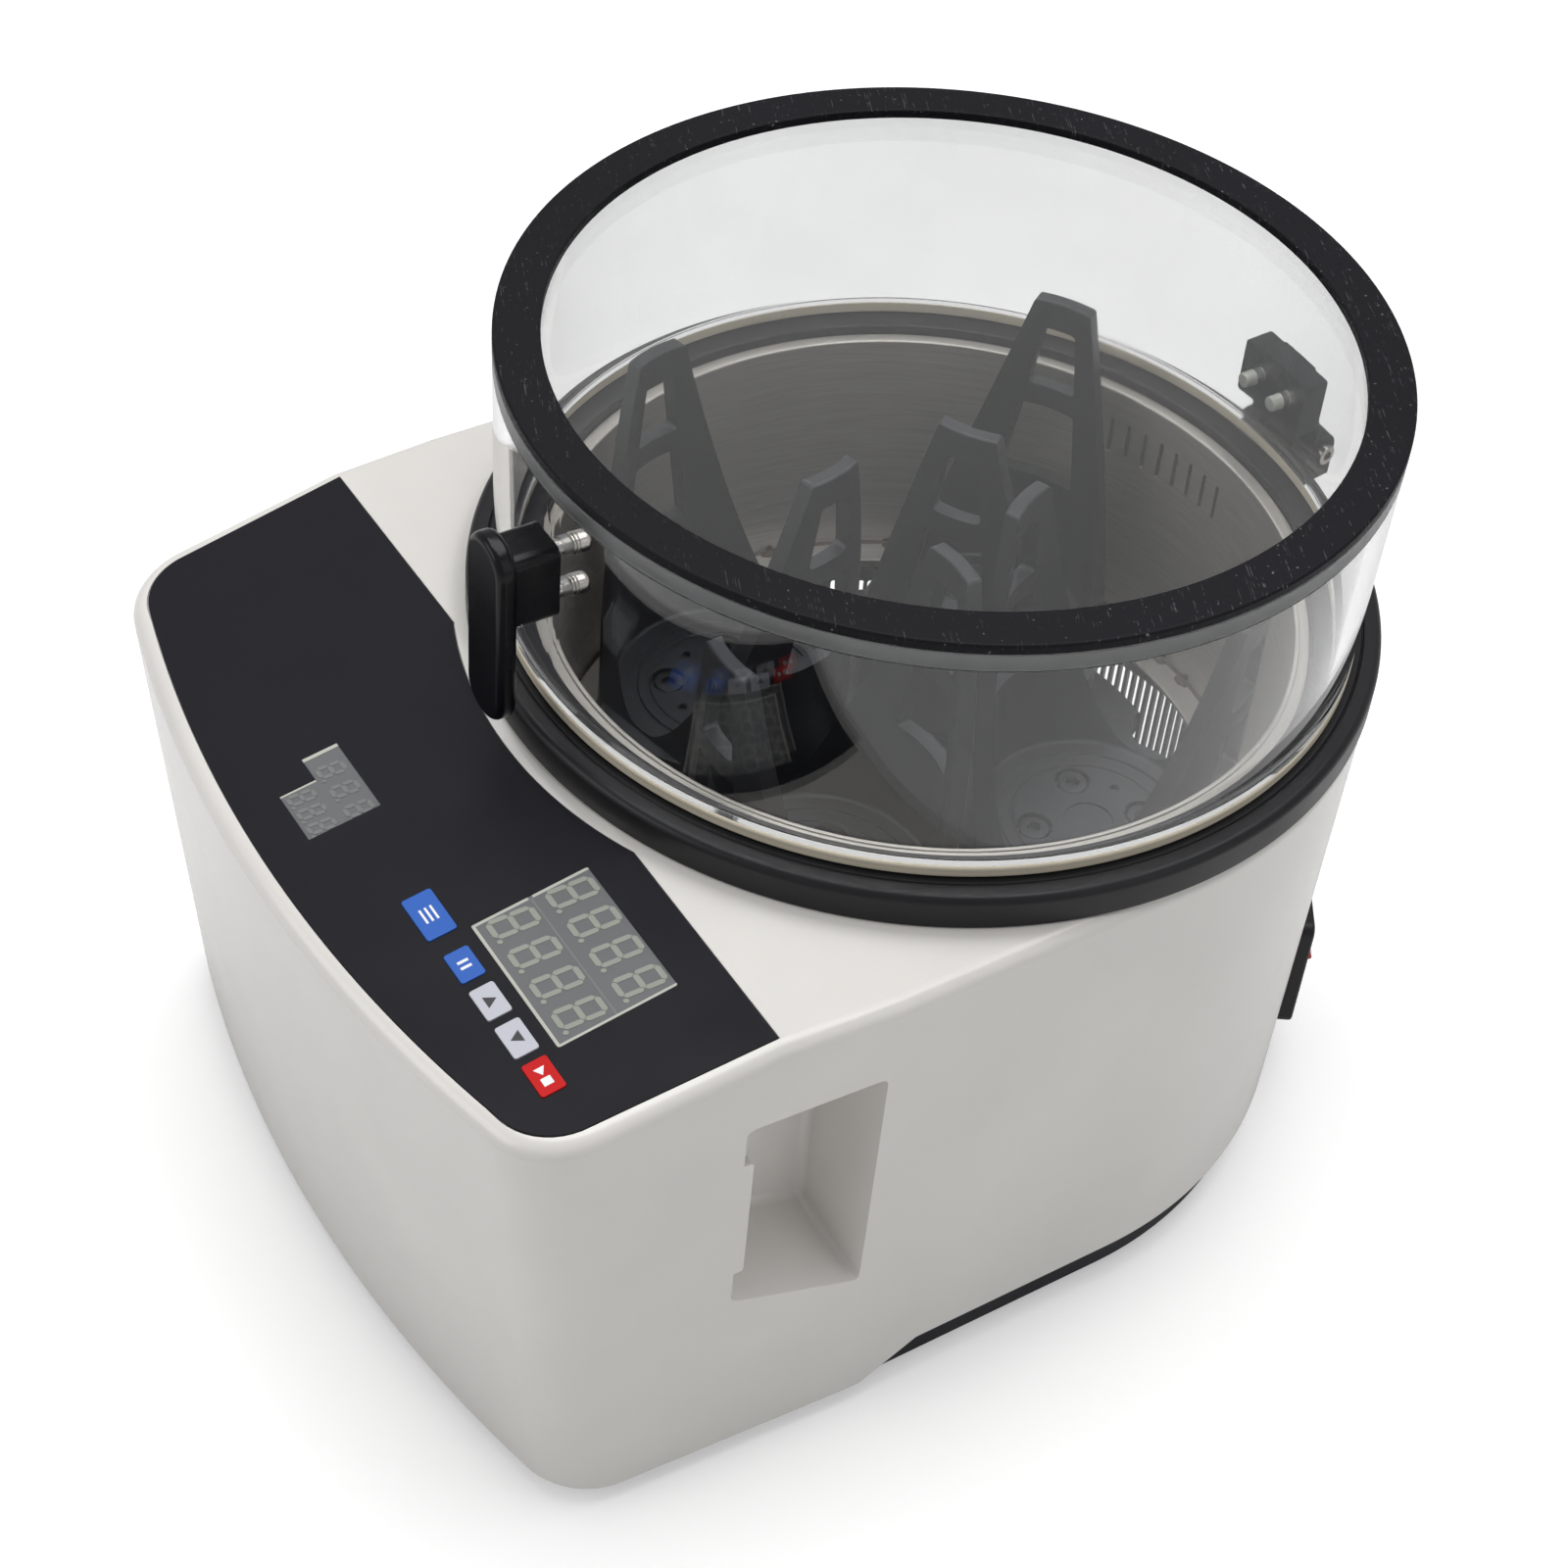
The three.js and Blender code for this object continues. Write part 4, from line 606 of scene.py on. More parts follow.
def recess(name, grow, side, rounding=0.0):
    """A hand recess, as a solid that narrows inwards."""
    top = TOP_Z - RECESS["drop"] + grow
    end = HALF_WIDTH - RECESS["depth"] - grow
    mouth = HALF_WIDTH + OVER
    front, back = -RECESS["front"] - grow, -RECESS["back"] + grow
    front_low = top - RECESS["front_height"] - grow * 2
    back_low = top - RECESS["back_height"] - grow * 2
    outer = [(front, top), (front, front_low), (back, back_low), (back, top)]
    inner = [
        (front + RECESS_END, top - RECESS_END), (front + RECESS_END, front_low + RECESS_RISE),
        (back - RECESS_END, back_low + RECESS_RISE), (back - RECESS_END, top - RECESS_END),
    ]
    points = [(side * x, y, z) for x, ring in ((end, inner), (mouth, outer)) for y, z in ring]
    piece = mesh_piece(name, points, [(0, 1, 2, 3), (7, 6, 5, 4), *band(0, 4)])
    return soften(piece, rounding, 4) if rounding else piece


LIP_WIDTH = 4
LIP_DROP = 16
LIP_HEIGHT = 50
LIP_ROUND = 1.2
SKIRT_START = -95
SKIRT_END = -75
SKIRT_RISE = 11
SKIRT_CHAMFER = 0.01
CHAMBER_HOLE = 121
FILM_SEAT = -1


def shell_skin():
    piece = housing_body("shell_skin", 0, FOOT_Z, TOP_FILLET)
    cavity = housing_body("cavity", WALL, FOOT_Z - OVER, 0)
    carve(cavity, recess("pocket_right", RECESS_WALL, 1), recess("pocket_left", RECESS_WALL, -1))
    hollows = [recess(f"hollow_{side + 1}", 0, side, RECESS_ROUND) for side in (-1, 1)]
    lip_top = TOP_Z - RECESS["drop"] - LIP_DROP
    front = -RECESS["front"] - OVER
    for side, hollow in zip((-1, 1), hollows):
        left, right = sorted((side * (HALF_WIDTH - WALL * 2), side * (HALF_WIDTH + OVER * 2)))
        high = (right, front + OVER + LIP_WIDTH, lip_top)
        carve(hollow, soften(block("lip", (left, front, lip_top - LIP_HEIGHT), high), LIP_ROUND, 3))
    width = HALF_WIDTH + OVER
    low, high = FOOT_Z - OVER, FOOT_Z + SKIRT_RISE
    rise = [(SKIRT_START, low), (SKIRT_START, FOOT_Z), (SKIRT_END, high), (width, high), (width, low)]
    skirt = prism("skirt", rounded(rise, SKIRT_CHAMFER, 1), -width, width, ALONG_X)
    chamber = rod(CHAMBER_HOLE, TOP_Z - WALL - OVER, TOP_Z + OVER, ROUND)
    film_seat = prism("film_seat", panel_outline(GAP), FILM_SEAT, OVER * 2, ON_PANEL)
    holes = [window_cut(name, GAP, -WALL * 2, OVER) for name in WINDOWS]
    inlet_hole = inlet_block("inlet_hole", GAP, width)
    vents = grille_window(GRILLE_OPENING)
    carve(piece, cavity, *hollows, chamber, skirt, inlet_hole, vents, film_seat, *holes)
    stand_in(piece, "shell", angle=SHELL_EDGE_ANGLE)


# Rear grille

GRILLE_START = 92
GRILLE_SLOTS = 45
GRILLE_PITCH = 1.45
GRILLE_OPENING = 2.5
GRILLE_MARGIN = 5
GRILLE_THICK = 2
GRILLE_INNER = BOWL_RADIUS
GRILLE_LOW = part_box("rear_vent_grille")[0].z / MM + GRILLE_MARGIN
GRILLE_SLOT = (2.1, 40)
SLOT_ROUND_SHARE = 0.48


def slots(count, start, pitch, outline, outer, inner):
    """A row of slots through a round wall, as one cutter."""
    places = [radial(start + i * pitch) @ UPRIGHT for i in range(count)]
    return gather([prism("slot", outline, -outer, -inner, place) for place in places])


def grille_window(margin):
    spread = math.degrees(margin / HALF_WIDTH)
    end = GRILLE_START + (GRILLE_SLOTS - 1) * GRILLE_PITCH + spread
    start = GRILLE_START - spread
    outline = arc(0, 0, HALF_WIDTH + OVER, start, end, ROUND // 3)
    outline += arc(0, 0, GRILLE_INNER, end, start, ROUND // 3)
    return prism("grille_window", outline, GRILLE_LOW - margin, GRILLE_LOW + GRILLE_SLOT[1] + margin)


def grille():
    inset = WALL + GAP
    skin = carve(
        housing_body("vent_grille", inset, FOOT_Z - OVER, 0),
        housing_body("inside", inset + GRILLE_THICK, FOOT_Z - OVER * 2, 0),
    )
    carve(skin, grille_window(GRILLE_MARGIN), operation="INTERSECT")
    width, height = GRILLE_SLOT
    outline = rounded_rectangle(
        -width / 2, width / 2, GRILLE_LOW, GRILLE_LOW + height, width * SLOT_ROUND_SHARE, FILLET,
    )
    carve(skin, slots(GRILLE_SLOTS, GRILLE_START, GRILLE_PITCH, outline, HALF_WIDTH, GRILLE_INNER))
    stand_in(skin, "rear_vent_grille")


# Control panel, drawn with Y up its slope from the crease

PANEL_BACK_HALF = 134.9
PANEL_FRONT_HALF = 131.2
PANEL_FRONT = 89.5
PANEL_CORNER = 20
PANEL_NOTCH = 147
FILM_LOW = -0.7
FILM_TOP = 0.2
FILM_FIT = 0.05
WINDOW_TOP = FILM_TOP - 0.34
DIGIT_TOP = FILM_TOP - 0.2
WINDOW_CORNER = 0.8
KEY_PROUD = 0.5
KEY_CORNER = 0.9
KEY_ROUND = 0.22
KEY_TRAVEL = 0.6
BOARD_TOP = -9
PRINT_THICK = 0.05
# The main window and the keys: left, right, back and front edge
MAIN = (52.5, 103.8, 13.4, 51.3)
TEMP = [(-22.5, -75.3), (-2.5, -75.3), (-2.5, -51.8), (-32, -51.8), (-32, -63.5), (-22.5, -63.5)]
TEMP_MIDDLE = -10
KEYS = {
    "key_menu": (33.9, 51.2, 54.5, 64), "key_pause": (58.2, 69.9, 55.3, 63.1),
    "key_up": (73.4, 85.4, 55.3, 63.1), "key_down": (88.5, 100.9, 55.3, 63.1),
    "key_run_stop": (103.9, 116.3, 55.3, 63.1),
}
WINDOWS = ["main", "temp", *KEYS]
# Each key's symbol, drawn round the key's middle
KEY_MARKS = {
    "key_pause": ("pause_mark", [rectangle(x - 0.5, x + 0.5, -1.7, 1.7) for x in (-1.1, 1.1)]),
    "key_menu": ("menu_mark", [rectangle(-2.8, 2.8, y - 0.35, y + 0.35) for y in (-1.7, 0, 1.7)]),
    "key_up": ("mark_key_up", [[(-2.2, -1.5), (2.2, -1.5), (0, 1.9)]]),
    "key_down": ("mark_key_down", [[(-2.2, 1.5), (2.2, 1.5), (0, -1.9)]]),
    "key_run_stop": ("run_stop_mark", [
        [(-3.1, -1.7), (-3.1, 1.7), (-0.3, 0)], rectangle(0.6, 3.4, -1.5, 1.5),
    ]),
}
# Each row of digits: its left and front end, their number, pitch, height, width and stroke, and its look
DIGITS = {
    "digits_main_1": (MAIN[0] + 1, 3.4 - MAIN[3], 4, 12.7, 14.6, 7.9, 1.7, segment_lit),
    "digits_main_2": (MAIN[0] + 1, 22.45 - MAIN[3], 4, 12.7, 14.6, 7.9, 1.7, segment_lit),
    "digits_temp_1": (TEMP[0][0] + 1.1, TEMP[0][1] + 1.1, 3, 6.6, 8.8, 4.6, 1.3, segment_dim),
    "digits_temp_2": (TEMP[4][0] + 5.4, TEMP[4][1] + 1.3, 3, 9.1, 8.8, 5.4, 1.4, segment_dim),
}
DIGIT_SLANT = 0.12
SEGMENT_GAP = 0.12
POINT_SHARE = 0.48


def panel_outline(grow):
    swing = math.degrees(math.acos(CREASE / PANEL_NOTCH))
    notch = arc(0, CREASE, PANEL_NOTCH - grow, -90 - swing, -90 + swing, CORNER * 3)
    bow_y = BOW_RADIUS - PANEL_FRONT - grow
    x = PANEL_FRONT_HALF - PANEL_CORNER
    y = bow_y - math.sqrt((BOW_RADIUS - PANEL_CORNER) ** 2 - x ** 2)
    end = math.degrees(math.atan2(y - bow_y, x))
    right = arc(x, y, PANEL_CORNER + grow, 0, end, CORNER)
    left = arc(-x, y, PANEL_CORNER + grow, 180 - end, 180, CORNER)
    bow = arc(0, bow_y, BOW_RADIUS, end, -180 - end, CORNER * 4)[1:-1]
    edge = PANEL_BACK_HALF + grow
    return [(-edge, grow), *notch, (edge, grow), *right, *bow, *left]


def window_cut(name, grow, low, high):
    if name == "temp":
        outline = [(x + math.copysign(grow, x - TEMP_MIDDLE), y) for x, y in TEMP]
    else:
        left, right, back, front = MAIN if name == "main" else KEYS[name]
        outline = rounded_rectangle(left - grow, right + grow, -front - grow, -back + grow, WINDOW_CORNER, 4)
    return prism(f"cut_{name}", outline, low, high, ON_PANEL)


def printed(name, outlines, look, body="housing", slot="smoked_window", low=WINDOW_TOP, thick=PRINT_THICK):
    piece = gather([prism(name, outline, low, low + thick, ON_PANEL) for outline in outlines])
    dress(piece, body, slot, look)


def segment(start, end, across, half):
    """A bar with pointed ends, along X."""
    return [
        (start, across), (start + half, across + half), (end - half, across + half),
        (end, across), (end - half, across - half), (start + half, across - half),
    ]


def seven_segments(x, y, height, width, thick):
    """Outlines of the seven bars of one digit, and its point. The digit stands along +Y."""
    half = thick / 2
    bars = []
    for level in (half, height / 2, height - half):
        bars.append(segment(half + SEGMENT_GAP, width - half - SEGMENT_GAP, level, half))
    for side in (half, width - half):
        for low, high in ((half, height / 2), (height / 2, height - half)):
            upright = segment(low + SEGMENT_GAP, high - SEGMENT_GAP, side, half)
            bars.append([(across, along) for along, across in upright])
    bars.append(arc(width + thick * 0.45, half, thick * POINT_SHARE, 0, 330, 11))
    return [[(x + px + py * DIGIT_SLANT, y + py) for px, py in bar] for bar in bars]


def digits():
    for name, (x, y, count, pitch, height, width, thick, look) in DIGITS.items():
        bars = [bar for i in range(count) for bar in seven_segments(x + i * pitch, y, height, width, thick)]
        printed(name, bars, look, thick=DIGIT_TOP - WINDOW_TOP)


def module_rims():
    """The pale rims of the display modules, which show along the windows' edges."""
    thick, space, band, hairline = 1, 0.7, 0.3, 0.02
    left, right = MAIN[:2]
    back, front = -MAIN[2], -MAIN[3]
    middle = (front + back) / 2
    side = front + thick + hairline  # the strokes stand just clear of each other
    rims = [
        rectangle(left, right, front, front + thick),
        rectangle(left, left + thick, side, middle - space),
        rectangle(left, left + thick, middle + space, back),
        rectangle(right - thick, right, side, back),
    ]
    printed("display_rims", rims, rim_look)
    seam = rectangle(left + thick, right - thick, middle - band, middle + band)
    printed("display_seam", [seam], segment_dim)
    lower_width, upper_width = 0.7, 1.3
    (left, low), (_, step), (far, high) = TEMP[0], TEMP[5], TEMP[3]
    ends = [rectangle(left, left + lower_width, low, step), rectangle(far, far + upper_width, step, high)]
    printed("temp_rims", ends, rim_look)


def key_marks():
    for key, (name, outlines) in KEY_MARKS.items():
        left, right, back, front = KEYS[key]
        x, y = (left + right) / 2, -(back + front) / 2
        placed = [[(x + px, y + py) for px, py in outline] for outline in outlines]
        pale = node_slots[key] == "white_key"
        ink, slot = (dark_print, "black_plastic") if pale else (key_print, "white_key")
        printed(name, placed, ink, node_bodies[key], slot, FILM_TOP + KEY_PROUD)


def panel():
    film = prism("panel_film", panel_outline(0), FILM_LOW, FILM_TOP, ON_PANEL)
    carve(film, *[window_cut(name, FILM_FIT, -OVER, OVER) for name in WINDOWS])
    stand_in(film, "panel_overlay")
    for name in ("main", "temp"):
        window = window_cut(name, 0, BOARD_TOP + GAP, WINDOW_TOP)
        window.name = f"{name}_window"
        stand_in(window, f"display_{name}")
    digits()
    module_rims()
    for name, (left, right, back, front) in KEYS.items():
        outline = rounded_rectangle(left, right, -front, -back, KEY_CORNER, FILLET)
        cap = prism(f"cap_{name}", outline, BOARD_TOP + GAP + KEY_TRAVEL, FILM_TOP + KEY_PROUD, ON_PANEL)
        stand_in(soften(cap, KEY_ROUND, 2, 60), name)
    key_marks()


# Ring, bowl and cover

RING_INNER = 122.3
RING_FOOT_INNER = 119.5
RING_STEP = TOP_Z + 6.5
GROOVE = 136.5
GROOVE_HALF = 0.5
GROOVE_DEPTH = 0.8
BOWL_WALL = 1.5
BOWL_HOLE = 107
BOWL_BEAD = 0.6
LOUVRES = 9
LOUVRE_PITCH = 3.3
LOUVRE_HALF = 0.8
LOUVRE_ROUND = 0.75
LOUVRE_TOP = TOP_Z - 2
LOUVRE_HEIGHT = 14
WELD_SIZE = (3.4, 1.9, 1.5)
WELD_EDGE_ANGLE = 70
COVER_RADIUS = 135
COVER_FOOT_RADIUS = 134
COVER_WALL = 5
COVER_TOP = TOP_Z + 100
SEAL_HEIGHT = 4
SEAL_WIDTH = 4.7
SEAL_WAIST = 0.2
COVER_FOOT = RING_TOP + GAP + SEAL_HEIGHT + GAP
RING_THICK = 3
DISC = 6
DISC_TOP = COVER_TOP - RING_THICK - GAP
DISC_BAND = 0.5
DISC_BAND_PROUD = 0.02
TOP_RING_INNER = COVER_RADIUS - 14.1
BOLT_HOLE = 2.8
HANDLE_BOLTS = (70.5, 55)
HINGE_BOLTS = (-7, 7)
HINGE_BOLT_Z = TOP_Z + 34


def body_ring():
    stand_in(lathe("ring_body", [
        (RING_INNER, RING_STEP), (RING_FOOT_INNER, RING_STEP, 0.4), (RING_FOOT_INNER, RING_LOW),
        (RING_RADIUS, RING_LOW), (RING_RADIUS, RING_TOP, 3), (GROOVE + GROOVE_HALF, RING_TOP, 0.1),
        (GROOVE, RING_TOP - GROOVE_DEPTH, 0.2), (GROOVE - GROOVE_HALF, RING_TOP, 0.1),
        (RING_INNER, RING_TOP, 0.8),
    ], 0.3), "body_ring", ring_look)


def bowl():
    lip = RING_STEP + GAP
    rim = lip + BOWL_WALL
    flange = RING_INNER - GAP
    outer = BOWL_RADIUS + BOWL_WALL
    under = BOWL_FLOOR - BOWL_WALL
    piece = lathe("bowl_liner", [
        (BOWL_HOLE, BOWL_FLOOR), (BOWL_RADIUS, BOWL_FLOOR, 0.8), (BOWL_RADIUS, rim + BOWL_BEAD, 0.6),
        (outer, rim + BOWL_BEAD, 0.6), (outer, rim), (flange, rim), (flange, lip, 0.2),
        (outer, lip, 0.2), (outer, under, 0.4), (BOWL_HOLE, under),
    ], 0.3)
    outline = rounded_rectangle(
        -LOUVRE_HALF, LOUVRE_HALF, LOUVRE_TOP - LOUVRE_HEIGHT, LOUVRE_TOP, LOUVRE_ROUND, FILLET,
    )
    carve(piece, slots(LOUVRES, 90, LOUVRE_PITCH, outline, outer + OVER, BOWL_RADIUS - OVER))
    stand_in(piece, "bowl")
    seam = lathe("bowl_seam", [
        (BOWL_RADIUS - 1.1, BOWL_FLOOR + 0.03), (BOWL_RADIUS + 0.3, BOWL_FLOOR - 0.3),
        (BOWL_RADIUS - 0.03, BOWL_FLOOR + 0.8),
    ])
    dress(seam, "housing", "stainless", weld_look)
    for i, angle in enumerate(WELD_ANGLES):
        tack_weld(f"tack_weld_{i + 1}", angle)


def tack_weld(name, angle):
    """A small rough bead where the bowl's wall meets its floor flange."""
    steps, rows = 14, 5
    length, width, high = WELD_SIZE
    points = [(0, 0, high)]
    for row in range(1, rows + 1):
        share = row / rows
        for i in range(steps):
            around = 2 * math.pi * i / steps
            reach = share * (1 + random.uniform(-0.12, 0.12))
            height = high * math.cos(share * math.pi / 2) * (1 + random.uniform(-0.15, 0.15)) - 0.2
            points.append((reach * length * math.cos(around), reach * width * math.sin(around), height))
    faces = [(0, 1 + i, 1 + (i + 1) % steps) for i in range(steps)]
    last = 1 + (rows - 1) * steps
    for low in range(1, last, steps):
        faces += band(low, steps)
    faces.append(tuple(last + i for i in range(steps)))
    place = radial(angle) @ shift(0, BOWL_RADIUS - 1.6, BOWL_FLOOR + 0.1)
    dress(mesh_piece(name, points, faces, place), "housing", "stainless", weld_look, angle=WELD_EDGE_ANGLE)


def bolt_hole(side, x, z):
    """A cutter through the cover's wall: side is 1 for the handle in front, -1 for the hinge."""
    low, high = sorted((side * (COVER_RADIUS - 12), side * (COVER_RADIUS + 12)))
    return rod(BOLT_HOLE, low, high, place=shift(x, 0, z) @ UPRIGHT)


def cover():
    disc_low = DISC_TOP - DISC
    slope = (COVER_RADIUS - COVER_FOOT_RADIUS) / (DISC_TOP - COVER_FOOT)
    neck = COVER_FOOT_RADIUS + (disc_low - COVER_FOOT) * slope
    tube_top = disc_low - 0.05
    tube = lathe("cover_tube", [
        (COVER_FOOT_RADIUS - COVER_WALL, COVER_FOOT, 0.4), (COVER_FOOT_RADIUS, COVER_FOOT, 0.5),
        (neck, tube_top), (neck - COVER_WALL, tube_top),
    ], 0.2)
    holes = [bolt_hole(1, 0, TOP_Z + z) for z in HANDLE_BOLTS]
    holes += [bolt_hole(-1, x, HINGE_BOLT_Z) for x in HINGE_BOLTS]
    carve(tube, *holes)
    stand_in(tube, "cover")
    corners = [(0, disc_low), (neck, disc_low), (COVER_RADIUS, DISC_TOP), (0, DISC_TOP)]
    disc = lathe("cover_disc", corners, 0.3)
    dress(disc, "cover", "acrylic")
    low, high = disc_low + 0.3, DISC_TOP - 0.3
    edge = lathe("cover_disc_edge", [
        (neck - DISC_BAND, low), (neck + DISC_BAND_PROUD, low),
        (COVER_RADIUS + DISC_BAND_PROUD, high), (COVER_RADIUS - DISC_BAND, high),
    ], 0.1)
    dress(edge, "cover", "acrylic", frosted)
    low = DISC_TOP + GAP
    ring = lathe("cover_ring", [
        (TOP_RING_INNER, low), (COVER_RADIUS, low),
        (COVER_RADIUS, COVER_TOP, 0.9), (TOP_RING_INNER, COVER_TOP, 0.7),
    ], 0.2)
    stand_in(ring, "cover_top_ring", top_ring_look)
    low = RING_TOP + GAP
    high = low + SEAL_HEIGHT
    outer = COVER_FOOT_RADIUS + GAP
    seal = lathe("seal_strip", [
        (outer - SEAL_WIDTH, low, 0.6), (outer, low, 0.9), (outer - SEAL_WAIST, (low + high) / 2, 0.6),
        (outer, high, 0.9), (outer - SEAL_WIDTH, high, 0.6),
    ])
    stand_in(seal, "cover_seal")


# Handle and hinge

HANDLE_BACK = COVER_RADIUS + 14
HANDLE_THICK = 6.5
HANDLE_HALF = 10
HANDLE_SPAN = (16.5, 82)
HANDLE_ROUND = 9.6
HANDLE_EDGE = 2.2
NECK_HALF = 8
NECK_SPAN = (51, 77)
NECK_ROUND = 3.5
SPACER_REACH = COVER_FOOT_RADIUS - COVER_WALL - 1.2
KEY_REACH = 10
# Outlines of fasteners: radius, height above the seat, and the corner's rounding
SPACER = [(2.7, 0.1), (3.2, 0.1), (3.2, 2.4), (2.7, 2.4)]
# A bolt with two thin washers and a domed cap nut
BOLT = [
    (0, -13.5), (2.5, -13.5, 0.4), (2.5, 2.5, 0.1), (3.2, 2.5, 0.2), (3.2, 3.2, 0.2), (2.9, 3.3, 0.1),
    (3.4, 3.4, 0.2), (3.4, 4.1, 0.2), (3, 4.25, 0.1), (3.3, 4.5, 0.15), (3.3, 8.1, 2.9), (0, 8.1),
]
# A button screw, whose plain end shows inside the clear wall
HINGE_SCREW = [
    (0, 4.2), (3.4, 4.2, 1.6), (4.4, 0.4, 0.8), (4.4, 0.05, 0.1), (2.5, 0.05, 0.1), (2.5, -20, 0.5), (0, -20),
]
HINGE_SOCKET = (1.8, 2.4)


def key_socket(piece, radius, low, place):
    """The piece with a socket for a hexagon key, from that height up."""
    return carve(piece, prism("socket", circle(radius, 6), low, low + KEY_REACH, place))


def seat_cutter():
    return rod(COVER_RADIUS + GAP, TOP_Z, COVER_TOP + OVER, ROUND)


def handle():
    place = shift(0, 0, TOP_Z) @ UPRIGHT
    outline = rounded_rectangle(-HANDLE_HALF, HANDLE_HALF, *HANDLE_SPAN, HANDLE_ROUND)
    grip = prism("handle_grip", outline, HANDLE_BACK, HANDLE_BACK + HANDLE_THICK, place)
    soften(grip, HANDLE_EDGE, 5, 60)
    outline = rounded_rectangle(-NECK_HALF, NECK_HALF, *NECK_SPAN, NECK_ROUND)
    fuse(grip, prism("neck", outline, COVER_RADIUS - 5, HANDLE_BACK + OVER, place))
    carve(grip, seat_cutter())
    stand_in(grip, "cover_handle", black_gloss)
    for i, height in enumerate(HANDLE_BOLTS):
        place = shift(0, -SPACER_REACH, TOP_Z + height) @ turn(-90, "X")
        stand_in(lathe(f"handle_nut_{i + 1}", BOLT, 0.2, FINE, place), f"handle_bolt_{i + 1}")
        spacer = lathe(f"handle_spacer_{i + 1}", SPACER, 0.2, FINE, place)
        dress(spacer, "cover", "acrylic", frosted)


HINGE_REACH = 149.5
HINGE_Z = TOP_Z + 13
HINGE_HALF = 16
HINGE_ROUND = 0.25
KNUCKLE = 6
KNUCKLE_HALF = 8
LEAF_INNER = COVER_RADIUS - 5
LEAF_OUTER = COVER_RADIUS + 10
LEAF_LOW = TOP_Z + 23
LEAF_TOP = TOP_Z + 43
KNUCKLE_TOP = TOP_Z + 21
RING_LEAF_LOW = TOP_Z + 1.5
PIN_HOLE = 2.7
PIN_END = HINGE_HALF + GAP
PIN_HEAD = PIN_END + 3
PIN = [
    (0, -PIN_HEAD), (3.5, -PIN_HEAD, 1.4), (3.5, -PIN_END), (2.45, -PIN_END, 0.1), (2.45, PIN_END, 0.1),
    (3.5, PIN_END), (3.5, PIN_HEAD, 0.4), (0, PIN_HEAD),
]
PIN_SOCKET = 1.9
ON_PIN = shift(0, HINGE_REACH, HINGE_Z) @ turn(90, "Y")


def pin_hole():
    return rod(PIN_HOLE, -20, 20, place=ON_PIN)


def cover_leaf():
    leaf = block("hinge_leaf_cover", (-HINGE_HALF, LEAF_INNER, LEAF_LOW), (HINGE_HALF, LEAF_OUTER, LEAF_TOP))
    soften(leaf, 1.4, 3)
    knuckle = [
        (LEAF_INNER, KNUCKLE_TOP), (HINGE_REACH - KNUCKLE, KNUCKLE_TOP),
        *arc(HINGE_REACH, HINGE_Z, KNUCKLE, -180, 45, SMALL), (LEAF_OUTER, LEAF_TOP), (LEAF_INNER, LEAF_TOP),
    ]
    fuse(leaf, prism("knuckle", knuckle, -KNUCKLE_HALF, KNUCKLE_HALF, ALONG_X))
    carve(leaf, seat_cutter(), pin_hole())
    soften(leaf, HINGE_ROUND)
    stand_in(leaf, "hinge_cover_leaf", black_matt)


def ring_leaf():
    outline = [
        (COVER_RADIUS, RING_LEAF_LOW), (HINGE_REACH + KNUCKLE, RING_LEAF_LOW),
        *arc(HINGE_REACH, HINGE_Z, KNUCKLE, 0, 180, SMALL), (COVER_RADIUS, RING_TOP + GAP),
    ]
    leaf = prism("hinge_leaf_ring", outline, -HINGE_HALF, HINGE_HALF, ALONG_X)
    half = KNUCKLE_HALF + GAP
    low = (-half, COVER_RADIUS - OVER, HINGE_Z - KNUCKLE - GAP)
    slot = block("slot", low, (half, HINGE_REACH + KNUCKLE + OVER, LEAF_TOP))
    seat = rod(RING_RADIUS + GAP, TOP_Z, RING_TOP + GAP, ROUND)
    path = rod(COVER_RADIUS + OVER, RING_TOP, COVER_TOP, ROUND)
    carve(leaf, slot, seat, path, pin_hole())
    soften(leaf, HINGE_ROUND)
    stand_in(leaf, "hinge_ring_leaf", black_matt)


def hinge():
    cover_leaf()
    ring_leaf()
    pin = lathe("hinge_pin_screw", PIN, 0.2, FINE, ON_PIN)
    stand_in(key_socket(pin, PIN_SOCKET, PIN_END + 1, ON_PIN), "hinge_pin")
    for i, x in enumerate(HINGE_BOLTS):
        place = shift(x, LEAF_OUTER, HINGE_BOLT_Z) @ turn(-90, "X")
        screw = lathe(f"hinge_screw_{i + 1}", HINGE_SCREW, 0.2, FINE, place)
        stand_in(key_socket(screw, *HINGE_SOCKET, place), f"hinge_bolt_{i + 1}", zinc)


# Turntable and jar holders

PLANETS = 4
PLANET_REACH = 66
PLANET_START = 33
TURNTABLE_RADIUS = 97
TURNTABLE_ROUND = 2
SHAFT_BORE = 12.3
PLANET_BORE = 16.3
NOTCH_REACH = 102
NOTCH_RADIUS = 14
SHAFT_RADIUS = 12
HUB_RADIUS = 17
HUB_LOW = TURNTABLE_TOP + GAP
HUB_TOP = HUB_LOW + 6
HUB_SOCKET = (2.2, 11)
HUB_SOCKET_DEPTH = 3
ARM_ANGLES = (25.5, 122, 193, 271)
HOLDER_RADIUS = 42
HOLDER_WALL = 5
HOLDER_FLOOR = HOLDER_LOW + 12
